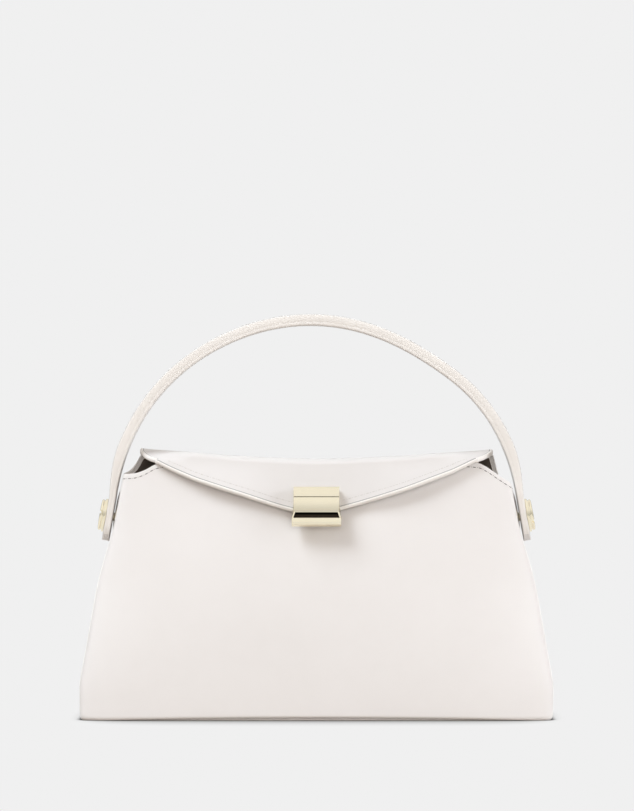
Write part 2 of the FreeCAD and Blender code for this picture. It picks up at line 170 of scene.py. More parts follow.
def rounded_line(corners: Sequence[Pair], passes: int = 4) -> np.ndarray:
    """Cut the corners of an open line again and again until it is smooth.

    Args:
        corners: Points of the line.
        passes: How often the corners are cut.

    Returns:
        Points of the smooth line, ends kept.
    """
    line = np.array(corners, float)
    for _ in range(passes):
        near = line[:-1] * 0.75 + line[1:] * 0.25
        far = line[:-1] * 0.25 + line[1:] * 0.75
        cut = np.empty((2 * len(near), 2))
        cut[0::2], cut[1::2] = near, far
        line = np.vstack([line[:1], cut, line[-1:]])
    return line


def bell(value: float, reach: float, power: int = 2) -> float:
    """Bump that is 1 at 0 and falls away past a reach, flatter on top with a higher power."""
    return math.exp(-(value / reach) ** power)


def walked(line: np.ndarray) -> np.ndarray:
    """Distances of a line's points from its start, along the line."""
    return np.concatenate([[0.0], np.cumsum(np.linalg.norm(np.diff(line, axis=0), axis=1))])


def read_along(steps: np.ndarray, values: np.ndarray, distance: float) -> np.ndarray:
    """Read rows of values, which stand at rising steps, at a distance."""
    return np.array([np.interp(distance, steps, column) for column in values.T])


def at_length(line: np.ndarray, distance: float) -> np.ndarray:
    """Point of a line at a distance from its start."""
    return read_along(walked(line), line, distance)


def line_length(line: np.ndarray) -> float:
    """Length of a line."""
    return float(np.linalg.norm(np.diff(line, axis=0), axis=1).sum())


# Mesh work


def clear_selection() -> None:
    """Leave object mode with nothing selected."""
    if bpy.context.object is not None and bpy.context.object.mode != "OBJECT":
        bpy.ops.object.mode_set(mode="OBJECT")
    bpy.ops.object.select_all(action="DESELECT")


def make_active(piece: Piece) -> None:
    """Select one piece alone and make it active."""
    clear_selection()
    piece.select_set(True)
    bpy.context.view_layer.objects.active = piece


def shaped_grid(name: str, columns: int, rows: int, place: Place) -> Piece:
    """Add a grid and lay it on a surface.

    Args:
        name: Name of the piece.
        columns: Faces along the first share.
        rows: Faces along the second share.
        place: Gives the point, in millimetres, for two shares from 0 to 1.

    Returns:
        The new piece, at the origin.
    """
    clear_selection()
    bpy.ops.mesh.primitive_grid_add(x_subdivisions=columns, y_subdivisions=rows, size=1.0)
    piece = bpy.context.object
    piece.name = name
    for vertex in piece.data.vertices:
        vertex.co = Vector(place(vertex.co.x + 0.5, vertex.co.y + 0.5)) * MM
    return piece


def shaped_disc(name: str, points: Sequence[Point]) -> Piece:
    """Add a filled circle and lay its rim on points.

    Args:
        name: Name of the piece.
        points: Rim in millimetres.

    Returns:
        The new piece, at the origin.
    """
    clear_selection()
    bpy.ops.mesh.primitive_circle_add(vertices=len(points), fill_type="NGON")
    piece = bpy.context.object
    piece.name = name
    for vertex, point in zip(piece.data.vertices, points):
        vertex.co = Vector(point) * MM
    return piece


def edit_all(piece: Piece) -> None:
    """Open a piece in edit mode with all of it selected."""
    make_active(piece)
    bpy.ops.object.mode_set(mode="EDIT")
    bpy.ops.mesh.select_all(action="SELECT")


def leave_edit() -> None:
    """Close edit mode."""
    bpy.ops.object.mode_set(mode="OBJECT")


def tidy_mesh(piece: Piece, merge: float = 0.01) -> None:
    """Merge doubles and point all faces outwards.

    Args:
        piece: The piece.
        merge: Distance in millimetres below which points are doubles.
    """
    edit_all(piece)
    bpy.ops.mesh.remove_doubles(threshold=merge * MM)
    bpy.ops.mesh.normals_make_consistent(inside=False)
    leave_edit()


def apply_modifiers(piece: Piece) -> None:
    """Apply every modifier of a piece in order."""
    make_active(piece)
    for modifier in list(piece.modifiers):
        bpy.ops.object.modifier_apply(modifier=modifier.name)


def thicken(piece: Piece, thickness: float, outward: float = -1.0, rim_slot: int = 0) -> None:
    """Give a sheet its thickness.

    Args:
        piece: The sheet.
        thickness: Thickness in millimetres.
        outward: -1 grows behind the faces, 1 in front of them, 0 both ways.
        rim_slot: How many material slots further on the cut edge's material is.
    """
    solidify = piece.modifiers.new("thickness", "SOLIDIFY")
    solidify.thickness = thickness * MM
    solidify.offset = outward
    solidify.use_even_offset = True
    solidify.material_offset_rim = rim_slot
    apply_modifiers(piece)


def soften(piece: Piece, width: float, angle: float = 35.0, segments: int = 3) -> None:
    """Round the sharp edges of a piece.

    Args:
        piece: The piece.
        width: Width of the rounding in millimetres.
        angle: Edges sharper than this, in degrees, are rounded.
        segments: Faces across the rounding.
    """
    bevel = piece.modifiers.new("soft_edges", "BEVEL")
    bevel.width = width * MM
    bevel.segments = segments
    bevel.limit_method = "ANGLE"
    bevel.angle_limit = math.radians(angle)
    bevel.harden_normals = False
    apply_modifiers(piece)


def smooth(piece: Piece, angle: float = 40.0) -> None:
    """Shade a piece smooth, with edges sharper than an angle kept."""
    make_active(piece)
    bpy.ops.object.shade_smooth_by_angle(angle=math.radians(angle))


def swept_bead(name: str, points: Sequence[Point], radius: float) -> Piece:
    """Lay a round bead along a line.

    Args:
        name: Name of the piece.
        points: Line in millimetres.
        radius: Radius of the bead in millimetres.

    Returns:
        The bead as a closed mesh.
    """
    clear_selection()
    curve = bpy.data.curves.new(name, "CURVE")
    curve.dimensions = "3D"
    curve.bevel_depth = radius * MM
    curve.bevel_resolution = 3
    curve.use_fill_caps = True
    spline = curve.splines.new("POLY")
    spline.points.add(len(points) - 1)
    for knot, point in zip(spline.points, points):
        knot.co = (*(Vector(point) * MM), 1.0)
    piece = bpy.data.objects.new(name, curve)
    bpy.context.collection.objects.link(piece)
    make_active(piece)
    bpy.ops.object.convert(target="MESH")
    return bpy.context.object


def lofted(name: str, sections: Sequence[Sequence[Point]]) -> Piece:
    """Join closed sections into a solid.

    Args:
        name: Name of the piece.
        sections: Rings of points in millimetres, all with the same count and order.

    Returns:
        The solid, closed at both ends.
    """
    last, count = len(sections) - 1, len(sections[0])

    def place(first: float, second: float) -> Point:
        """Point of a section for a share along the solid and a share round it."""
        return tuple(sections[round(first * last)][round(second * count) % count])

    piece = shaped_grid(name, last, count, place)
    edit_all(piece)
    bpy.ops.mesh.remove_doubles(threshold=FINE_MERGE * MM)
    bpy.ops.mesh.select_all(action="SELECT")
    bpy.ops.mesh.fill_holes(sides=0)
    bpy.ops.mesh.select_all(action="SELECT")
    bpy.ops.mesh.normals_make_consistent(inside=False)
    leave_edit()
    return piece


def swept_profile(name: str, line: np.ndarray, normals: np.ndarray, profile: Sequence[Pair]) -> Piece:
    """Sweep a closed profile along a line on a surface.

    Args:
        name: Name of the piece.
        line: Points of the line in millimetres.
        normals: Outward directions of the surface at those points.
        profile: Points (to the left of the line seen from outside, outwards).

    Returns:
        The closed strip.
    """
    ahead = np.gradient(line, axis=0)
    ahead /= np.linalg.norm(ahead, axis=1)[:, None]
    left = np.cross(normals, ahead)
    left /= np.linalg.norm(left, axis=1)[:, None]
    up = np.cross(ahead, left)
    rings = []
    for spot, point in enumerate(line):
        rings.append([point + left[spot] * over + up[spot] * out for over, out in profile])
    return lofted(name, rings)


def spun(name: str, profile: Sequence[Pair], steps: int) -> Piece:
    """Spin a profile round the Z axis into a closed solid.

    Args:
        name: Name of the piece.
        profile: Points (radius, height) in millimetres.
        steps: Faces round the axis.

    Returns:
        The solid.
    """
    clear_selection()
    bpy.ops.mesh.primitive_circle_add(vertices=len(profile), fill_type="NOTHING")
    piece = bpy.context.object
    piece.name = name
    for vertex, (radius, height) in zip(piece.data.vertices, profile):
        vertex.co = Vector((radius, 0.0, height)) * MM
    edit_all(piece)
    bpy.ops.mesh.spin(steps=steps, angle=2 * math.pi, center=(0.0, 0.0, 0.0), axis=(0.0, 0.0, 1.0))
    leave_edit()
    tidy_mesh(piece, FINE_MERGE)
    return piece


def profile_bar(name: str, profile: Sequence[Pair], half: Callable[[float], float],
                place: Callable[[float, float, float], Point]) -> Piece:
    """Extrude a closed profile across the bag.

    Args:
        name: Name of the piece.
        profile: Points (up, out) of the profile on the clasp's own axes.
        half: Gives half the width at a height of the profile.
        place: Turns (across, up, out) into a point of the row frame.

    Returns:
        The bar, with ends that follow the half widths.
    """
    piece = shaped_disc(name, [(-half(up), up, out) for up, out in profile])
    edit_all(piece)
    bpy.ops.mesh.extrude_region_move()
    leave_edit()
    for vertex in piece.data.vertices:
        if vertex.select:
            vertex.co.x = -vertex.co.x
        vertex.co = Vector(place(*(vertex.co / MM))) * MM
    tidy_mesh(piece)
    return piece


def on_surface(place: Place, shares: Sequence[Pair]) -> np.ndarray:
    """Points of a surface at pairs of shares."""
    return np.array([place(*pair) for pair in shares])


def surface_normals(place: Place, shares: Sequence[Pair], flip: float = 1.0) -> np.ndarray:
    """Outward directions of a surface at given shares.

    Args:
        place: The surface.
        shares: Pairs of shares.
        flip: -1 where the surface's own order of shares points inwards.

    Returns:
        One unit direction for each pair.
    """
    step = NORMAL_STEP
    found = []
    for first, second in shares:
        along = np.subtract(place(min(first + step, 1.0), second), place(max(first - step, 0.0), second))
        up = np.subtract(place(first, min(second + step, 1.0)), place(first, max(second - step, 0.0)))
        normal = np.cross(along, up) * flip
        found.append(normal / np.linalg.norm(normal))
    return np.array(found)


def cut_away(piece: Piece, cutter: Piece) -> None:
    """Cut one solid out of another and drop the cutter.

    Args:
        piece: The solid that stays.
        cutter: The solid that is cut out of it.
    """
    cut = piece.modifiers.new("cut", "BOOLEAN")
    cut.operation = "DIFFERENCE"
    cut.object = cutter
    apply_modifiers(piece)
    bpy.data.objects.remove(cutter)


def face_away(piece: Piece, sign: int, axis: int = 1) -> None:
    """Turn a sheet's faces so that most of them look one way.

    Args:
        piece: The sheet.
        sign: Sign of the direction on the axis.
        axis: 0, 1 or 2 for X, Y or Z.
    """
    facing = sum(face.normal[axis] * face.area for face in piece.data.polygons)
    if facing * sign < 0:
        piece.data.flip_normals()


def dress(piece: Piece, *materials: bpy.types.Material) -> None:
    """Give a piece its materials in slot order."""
    piece.data.materials.clear()
    for material in materials:
        piece.data.materials.append(material)


def hand_over(piece: Piece, body: Body, slot: Slot, *nodes: str) -> None:
    """Let a finished piece take its place in the frame, and report it.

    Args:
        piece: The piece.
        body: Body on which it rides.
        slot: Material slot of the record; not used.
        nodes: CAD nodes that it stands for.
    """
    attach(piece, body.value)
    if nodes:
        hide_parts(*nodes)
    LOG.info("%s on %s, %d faces", piece.name, body.value, len(piece.data.polygons))


# Shader groups


def feed(tree: Tree, node: bpy.types.Node, inputs: Inputs) -> None:
    """Link or set the inputs of a node.

    Args:
        tree: Tree in which the node stands.
        node: The node.
        inputs: Sockets to link or plain values, by input.
    """
    for label, value in inputs.items():
        if isinstance(value, Socket):
            tree.links.new(value, node.inputs[label])
        else:
            node.inputs[label].default_value = value


def add_node(tree: Tree, kind: str, inputs: Inputs, **settings: object) -> bpy.types.Node:
    """Add a shader node to a tree.

    Args:
        tree: The tree.
        kind: Type of the node, without the word ShaderNode before it.
        inputs: Sockets to link or plain values, by input.
        settings: The node's own settings, which come before its inputs.

    Returns:
        The node.
    """
    node = tree.nodes.new("ShaderNode" + kind)
    for label, value in settings.items():
        setattr(node, label, value)
    feed(tree, node, inputs)
    return node


def math_node(tree: Tree, operation: str, *values: Socket | float) -> Socket:
    """Add a sum of sockets and numbers to a tree and return its result."""
    return add_node(tree, "Math", dict(enumerate(values)), operation=operation).outputs[0]


def noise_node(tree: Tree, vector: Socket, scale: Socket | float, detail: float = 3.0) -> Socket:
    """Add noise at a scale to a tree and return its value."""
    return add_node(tree, "TexNoise", {"Detail": detail, "Vector": vector, "Scale": scale}).outputs["Fac"]


def new_group(name: str, inputs: dict[str, float], outputs: Sequence[str]) -> Tree:
    """Start a shader group on a vector input.

    Args:
        name: Name of the group.
        inputs: Number inputs with their first values.
        outputs: Names of its number outputs.

    Returns:
        The group's tree with its input and output nodes.
    """
    tree = bpy.data.node_groups.new(name, "ShaderNodeTree")
    tree.interface.new_socket("Vector", in_out="INPUT", socket_type="NodeSocketVector")
    for label, value in inputs.items():
        socket = tree.interface.new_socket(label, in_out="INPUT", socket_type="NodeSocketFloat")
        socket.default_value = value
    for label in outputs:
        tree.interface.new_socket(label, in_out="OUTPUT", socket_type="NodeSocketFloat")
    tree.nodes.new("NodeGroupInput").name = "in"
    tree.nodes.new("NodeGroupOutput").name = "out"
    return tree


def put_out(tree: Tree, **results: Socket) -> Tree:
    """Link a group's results to its outputs and return the finished group."""
    feed(tree, tree.nodes["out"], results)
    return tree


# Grain: scales of pores and creases beside the pebbles, and what each adds to height, tone and gloss
PORE_SCALE = 2.3
CREASE_SCALE = 0.12
PORE_HEIGHT = 0.45
CREASE_HEIGHT = 0.6
CREASE_TONE = 0.25
PEBBLE_GLOSS = 0.3

# Weave: turns of the two sets of ridges, their waver, and the scale of the slubs beside the threads
TWILL_TURNS = ((0.3, 0.6, 0.2), (0.3, -0.9, 0.2))
THREAD_WAVER = 0.6
SLUB_SCALE = 0.1

# Polish: scale of the smears, and what the drawn lines add to their tone
SMEAR_SCALE = 120.0
LINE_TONE = 0.4


def grain_group() -> Tree:
    """Leather grain: pebbles and pores as a height, soft clouds as a tone, and gloss that follows both.

    Returns:
        The finished group.
    """
    scales = {"Pebble Scale": 900.0, "Cloud Scale": 14.0}
    tree = new_group("leather_grain", scales, ("Height", "Tone", "Gloss"))
    given = tree.nodes["in"].outputs
    vector, scale = given["Vector"], given["Pebble Scale"]
    cells = add_node(tree, "TexVoronoi", {"Vector": vector, "Scale": scale}, feature="SMOOTH_F1")
    pebbles = cells.outputs["Distance"]
    pores = noise_node(tree, vector, math_node(tree, "MULTIPLY", scale, PORE_SCALE), 2.0)
    creases = noise_node(tree, vector, math_node(tree, "MULTIPLY", scale, CREASE_SCALE), 4.0)
    clouds = noise_node(tree, vector, given["Cloud Scale"], 4.0)
    height = math_node(tree, "MULTIPLY_ADD", pores, PORE_HEIGHT, pebbles)
    return put_out(tree, Height=math_node(tree, "MULTIPLY_ADD", creases, CREASE_HEIGHT, height),
                   Tone=math_node(tree, "MULTIPLY_ADD", creases, CREASE_TONE, clouds),
                   Gloss=math_node(tree, "MULTIPLY_ADD", pebbles, PEBBLE_GLOSS, creases))


def weave_group() -> Tree:
    """Twill weave: two crossing sets of ridges as a height, with slubs as a tone.

    Returns:
        The finished group.
    """
    tree = new_group("twill_weave", {"Thread Scale": 1500.0}, ("Height", "Tone"))
    given = tree.nodes["in"].outputs
    vector, scale = given["Vector"], given["Thread Scale"]
    waves = []
    for turn in TWILL_TURNS:
        turned = add_node(tree, "Mapping", {"Rotation": turn, "Vector": vector}).outputs["Vector"]
        wave = add_node(tree, "TexWave", {"Distortion": THREAD_WAVER, "Vector": turned, "Scale": scale})
        waves.append(wave.outputs["Fac"])
    slubs = noise_node(tree, vector, math_node(tree, "MULTIPLY", scale, SLUB_SCALE))
    return put_out(tree, Height=math_node(tree, "MAXIMUM", *waves), Tone=slubs)


def polish_group() -> Tree:
    """Polished metal: fine lines drawn across as a height, with smears and tiny scratches as a tone.

    Returns:
        The finished group.
    """
    tree = new_group("drawn_polish", {"Line Scale": 900.0, "Stretch": 30.0}, ("Height", "Tone"))
    given = tree.nodes["in"].outputs
    parts = add_node(tree, "SeparateXYZ", {"Vector": given["Vector"]}).outputs
    across = math_node(tree, "DIVIDE", parts["X"], given["Stretch"])
    drawn = add_node(tree, "CombineXYZ", {"X": across, "Y": parts["Y"], "Z": parts["Z"]}).outputs["Vector"]
    lines = noise_node(tree, drawn, given["Line Scale"], 2.0)
    smears = noise_node(tree, given["Vector"], SMEAR_SCALE, 4.0)
    return put_out(tree, Height=lines, Tone=math_node(tree, "MULTIPLY_ADD", lines, LINE_TONE, smears))


def place_group(tree: Tree, name: str, build: Callable[[], Tree], values: Inputs) -> bpy.types.Node:
    """Place a shader group in a material, and build it the first time it is asked for.

    Args:
        tree: Tree of the material.
        name: Name of the group.
        build: Builds the group.
        values: The material's own values for the group's inputs.

    Returns:
        The group's node in the material.
    """
    return add_node(tree, "Group", values, node_tree=bpy.data.node_groups.get(name) or build())


# Finishes


@dataclass(frozen=True)
class Finish:
    """What all finishes share: a name, two tones, the gloss between two values, and the relief."""

    name: str
    dark: Colour
    light: Colour
    rough_low: float
    rough_high: float
    bump: float
    relief: float

    def start(self, tree: Tree) -> bpy.types.Node:
        """Place the finish's own group in a tree and return its node."""
        raise NotImplementedError

    def plain(self) -> Inputs:
        """Shader values that are the same all over the surface."""
        raise NotImplementedError

    def material(self) -> bpy.types.Material:
        """Build the material once.

        Returns:
            The material, new or made before.
        """
        made = bpy.data.materials.get(self.name)
        if made is not None:
            return made
        made = bpy.data.materials.new(self.name)
        made.use_nodes = True
        tree = made.node_tree
        group = self.start(tree)
        feed(tree, group, {"Vector": add_node(tree, "TexCoord", {}).outputs["Object"]})
        tone = group.outputs["Tone"]
        shades = {"A": (*self.dark, 1.0), "B": (*self.light, 1.0), "Factor": tone}
        colour = add_node(tree, "Mix", shades, data_type="RGBA")
        range_of_gloss = {"To Min": self.rough_low, "To Max": self.rough_high}
        gloss = add_node(tree, "MapRange", {**range_of_gloss, "Value": group.outputs.get("Gloss", tone)})
        depth = {"Strength": self.bump, "Distance": self.relief * MM}
        bump = add_node(tree, "Bump", {**depth, "Height": group.outputs["Height"]})
        varied = {"Base Color": colour.outputs["Result"], "Roughness": gloss.outputs["Result"],
                  "Normal": bump.outputs["Normal"]}
        feed(tree, tree.nodes["Principled BSDF"], {**varied, **self.plain()})
        return made


@dataclass(frozen=True)
class LeatherFinish(Finish):
    """Smooth leather with a fine grain."""

    pebble: float = 900.0
    cloud: float = 14.0
    sheen: float = 0.04

    def start(self, tree: Tree) -> bpy.types.Node:
        """Place the grain group at this leather's scale."""
        scales = {"Pebble Scale": self.pebble, "Cloud Scale": self.cloud}
        return place_group(tree, "leather_grain", grain_group, scales)

    def plain(self) -> Inputs:
        """Leather's gloss and the slight bloom at grazing angles."""
        return {"Specular IOR Level": 0.42, "Sheen Weight": self.sheen, "Sheen Roughness": 0.5}


@dataclass(frozen=True)
class ClothFinish(Finish):
    """Woven lining, thread, web or board."""

    thread: float = 1500.0

    def start(self, tree: Tree) -> bpy.types.Node:
        """Place the weave group at this cloth's scale."""
        return place_group(tree, "twill_weave", weave_group, {"Thread Scale": self.thread})

    def plain(self) -> Inputs:
        """Cloth's dull surface."""
        return {"Specular IOR Level": 0.25, "Sheen Weight": 0.15}


@dataclass(frozen=True)
class MetalFinish(Finish):
    """Plated metal with a drawn polish."""

    lines: float = 900.0
    stretch: float = 30.0

    def start(self, tree: Tree) -> bpy.types.Node:
        """Place the polish group at this metal's scale."""
        scales = {"Line Scale": self.lines, "Stretch": self.stretch}
        return place_group(tree, "drawn_polish", polish_group, scales)

    def plain(self) -> Inputs:
        """Metal all over."""
        return {"Metallic": 1.0}


# Gloss from and to, bump and relief, and then scales and sheen, where finishes share them
CALF = (0.38, 0.52, 0.10, 0.12)
STRAP_CALF = (0.38, 0.52, 0.04, 0.06, 500.0, 30.0)
PAINT = (0.3, 0.42, 0.05, 0.08, 500.0, 30.0, 0.0)
THREAD = (0.6, 0.8, 0.5, 0.1, 2600.0)

LEATHER = LeatherFinish("cream_calf", (0.775, 0.745, 0.722), (0.835, 0.808, 0.790), *CALF)
# Flap leather: a darker copy of the body's cream calf. Its lower tone is painted shade that offsets the
# stronger top light on the flap's up-tilted faces
FLAP = LeatherFinish("flap_calf_painted_shade", (0.705, 0.676, 0.655), (0.760, 0.733, 0.715), *CALF)
# Strap leather: a darker copy of the cream calf. Its lower tone is painted shade that keeps the strap's
# upward faces from burning out under the lamps
STRAP = LeatherFinish("strap_calf_painted_shade", (0.716, 0.687, 0.659), (0.764, 0.740, 0.713), *STRAP_CALF)
# Mouth facing: dark taupe painted shade, standing in for the mouth's leather in the shadow under the flap
FACING_PAINTED_SHADE = LeatherFinish("facing_painted_shade", (0.105, 0.085, 0.070), (0.150, 0.122, 0.100),
                       0.5, 0.62, 0.16, 0.15, 700.0)
EDGE = LeatherFinish("painted_edge", (0.86, 0.82, 0.775), (0.92, 0.89, 0.85), *PAINT)
# Seam ridges: the edge paint made near white, paler than the painted edge, as painted highlight along the
# seams
RIDGE_HIGHLIGHT = LeatherFinish("ridge_painted_highlight", (0.92, 0.90, 0.87), (0.96, 0.94, 0.915), *PAINT)
# Crease strip: a narrow dark strip laid beside the flap's band. Its dark colour is painted shade of the
# crease's groove
CREASE_SHADE = LeatherFinish("crease_painted_shade", (0.34, 0.33, 0.32), (0.42, 0.41, 0.40),
                       0.5, 0.6, 0.05, 0.05, 600.0, 30.0, 0.0)
# Body thread: dark grey-brown, its darkness painted shade of stitches sunk in the leather
SHADED_THREAD = ClothFinish("thread_painted_shade", (0.20, 0.185, 0.17), (0.30, 0.28, 0.26), *THREAD)
PALE_THREAD = ClothFinish("cream_thread", (0.56, 0.53, 0.50), (0.68, 0.65, 0.61), *THREAD)
# Needle holes: a flat dark mark at each stitch's end, painted shade of the hole
HOLE_SHADE = ClothFinish("needle_hole_painted_shade", (0.30, 0.28, 0.26), (0.40, 0.37, 0.35), 0.8, 0.9, 0.3, 0.1, 900.0)
LINING = ClothFinish("dark_twill", (0.016, 0.013, 0.011), (0.040, 0.032, 0.028), 0.7, 0.9, 0.6, 0.15, 1300.0)
WEB = ClothFinish("patch_web", (0.36, 0.34, 0.31), (0.48, 0.46, 0.43), 0.7, 0.9, 0.6, 0.2, 900.0)
BOARD = ClothFinish("grey_board", (0.30, 0.26, 0.21), (0.38, 0.33, 0.27), 0.8, 0.95, 0.3, 0.1, 300.0)
GOLD = MetalFinish("pale_gold", (0.92, 0.83, 0.62), (0.98, 0.90, 0.70), 0.10, 0.18, 0.05, 0.02)
# Scoop: near-black metal on the tab's hollow, painted shade and dark reflection that give the black band
# under the lift tab's face
SCOOP_PAINTED_DARK = MetalFinish("scoop_painted_dark_reflection", (0.016, 0.012, 0.008), (0.030, 0.023, 0.016), 0.08, 0.14, 0.04, 0.02)
STEEL = MetalFinish("plated_steel", (0.48, 0.48, 0.49), (0.62, 0.62, 0.63), 0.22, 0.40, 0.05, 0.03)


def make_sheet(piece: Piece, finish: Finish, thickness: float, rim_round: float = 0.0,
               angle: float = 40.0) -> None:
    """Make a surface a sheet with painted edges.

    Args:
        piece: The surface.
        finish: Finish of its faces.
        thickness: Thickness in millimetres, behind the surface.
        rim_round: Rounding of its rim in millimetres.
        angle: Edges sharper than this, in degrees, stay sharp.
    """
    dress(piece, finish.material(), EDGE.material())
    thicken(piece, thickness, rim_slot=1)
    if rim_round:
        soften(piece, rim_round, RIM_ANGLE, 2)
    smooth(piece, angle)


# Stitches


@dataclass(frozen=True)
class StitchRun:
    """A line of machine stitches: one thread with a flat dark mark at its needle hole as painted shade,
    modelled once and copied along a line.
    """

    thread: ClothFinish
    pitch: float = 3.3
    length: float = 1.9
    width: float = 0.5
    height: float = 0.24
    hole: float = 0.45
    bluntness: float = 0.7
    look: float = 0.5

    def bead(self, size: Point) -> tuple[np.ndarray, list[list[int]]]:
        """Shape a coarse sphere to a blunt bead.

        Args:
            size: Length, width and height in millimetres.

        Returns:
            Its points and faces.
        """
        clear_selection()
        bpy.ops.mesh.primitive_uv_sphere_add(segments=6, ring_count=6, radius=0.5)
        ball = bpy.context.object
        ball.rotation_euler = (0.0, math.pi / 2, 0.0)
        bpy.ops.object.transform_apply(location=False, rotation=True, scale=False)
        points = np.array([vertex.co for vertex in ball.data.vertices])
        points[:, 0] = np.sign(points[:, 0]) * np.abs(2 * points[:, 0]) ** self.bluntness / 2
        faces = [list(face.vertices) for face in ball.data.polygons]
        bpy.data.objects.remove(ball)
        return points * size, faces

    def template(self) -> tuple[np.ndarray, list[list[int]], int]:
        """One stitch with the flat dark mark of painted shade at its hole.

        Returns:
            Points along x with the leather at z = 0, faces, and how many of the faces are thread.
        """
        thread, thread_faces = self.bead((self.length, self.width, 2 * self.height))
        hole, hole_faces = self.bead((self.hole, self.hole, self.hole / 4))
        hole[:, 0] += self.pitch / 2
        moved = [[corner + len(thread) for corner in face] for face in hole_faces]
        return np.vstack([thread, hole]), thread_faces + moved, len(thread_faces)

    def sew(self, name: str, line: np.ndarray, normals: np.ndarray) -> Piece:
        """Sew along a line.

        Args:
            name: Name of the piece.
            line: Points of the line in millimetres.
            normals: Outward directions of the leather at those points.

        Returns:
            All its stitches as one piece.
        """
        points, faces, thread_count = self.template()
        total, steps = line_length(line), walked(line)
        count = max(int(total / self.pitch), 1)
        all_points: list[np.ndarray] = []
        all_faces: list[list[int]] = []
        for index in range(count):
            spot = (index + 0.5) * total / count
            ahead = at_length(line, min(spot + self.look, total))
            ahead -= at_length(line, max(spot - self.look, 0.0))
            ahead /= np.linalg.norm(ahead)
            up = read_along(steps, normals, spot)
            up -= ahead * up.dot(ahead)
            up /= np.linalg.norm(up)
            turned = points @ np.array([ahead, np.cross(up, ahead), up])
            start = len(all_points) * len(points)
            all_points.append(turned + at_length(line, spot))
            all_faces.extend([[corner + start for corner in face] for face in faces])
        mesh = bpy.data.meshes.new(name)
        mesh.from_pydata((np.vstack(all_points) * MM).tolist(), [], all_faces)
        piece = bpy.data.objects.new(name, mesh)
        bpy.context.collection.objects.link(piece)
        # The second slot, on each stitch's flat hole mark, is painted shade
        dress(piece, self.thread.material(), HOLE_SHADE.material())
        slots = [int(index % len(faces) >= thread_count) for index in range(len(all_faces))]
        mesh.polygons.foreach_set("material_index", slots)
        smooth(piece, BEAD_ANGLE)
        return piece

    def sew_on(self, name: str, place: Place, shares: Sequence[Pair], flip: float = 1.0) -> Piece:
        """Sew on a surface through pairs of shares, with the surface's normals flipped by -1."""
        return self.sew(name, on_surface(place, shares), surface_normals(place, shares, flip))


# Stitches on the front's top edge, in the thread darkened with painted shade
BODY_STITCH = StitchRun(SHADED_THREAD)
FLAP_STITCH = StitchRun(PALE_THREAD, length=1.7, width=0.4, height=0.16, hole=0.3)
HANDLE_STITCH = StitchRun(PALE_THREAD, pitch=3.0, length=1.6, width=0.4, height=0.06, hole=0.2)


# The leather body


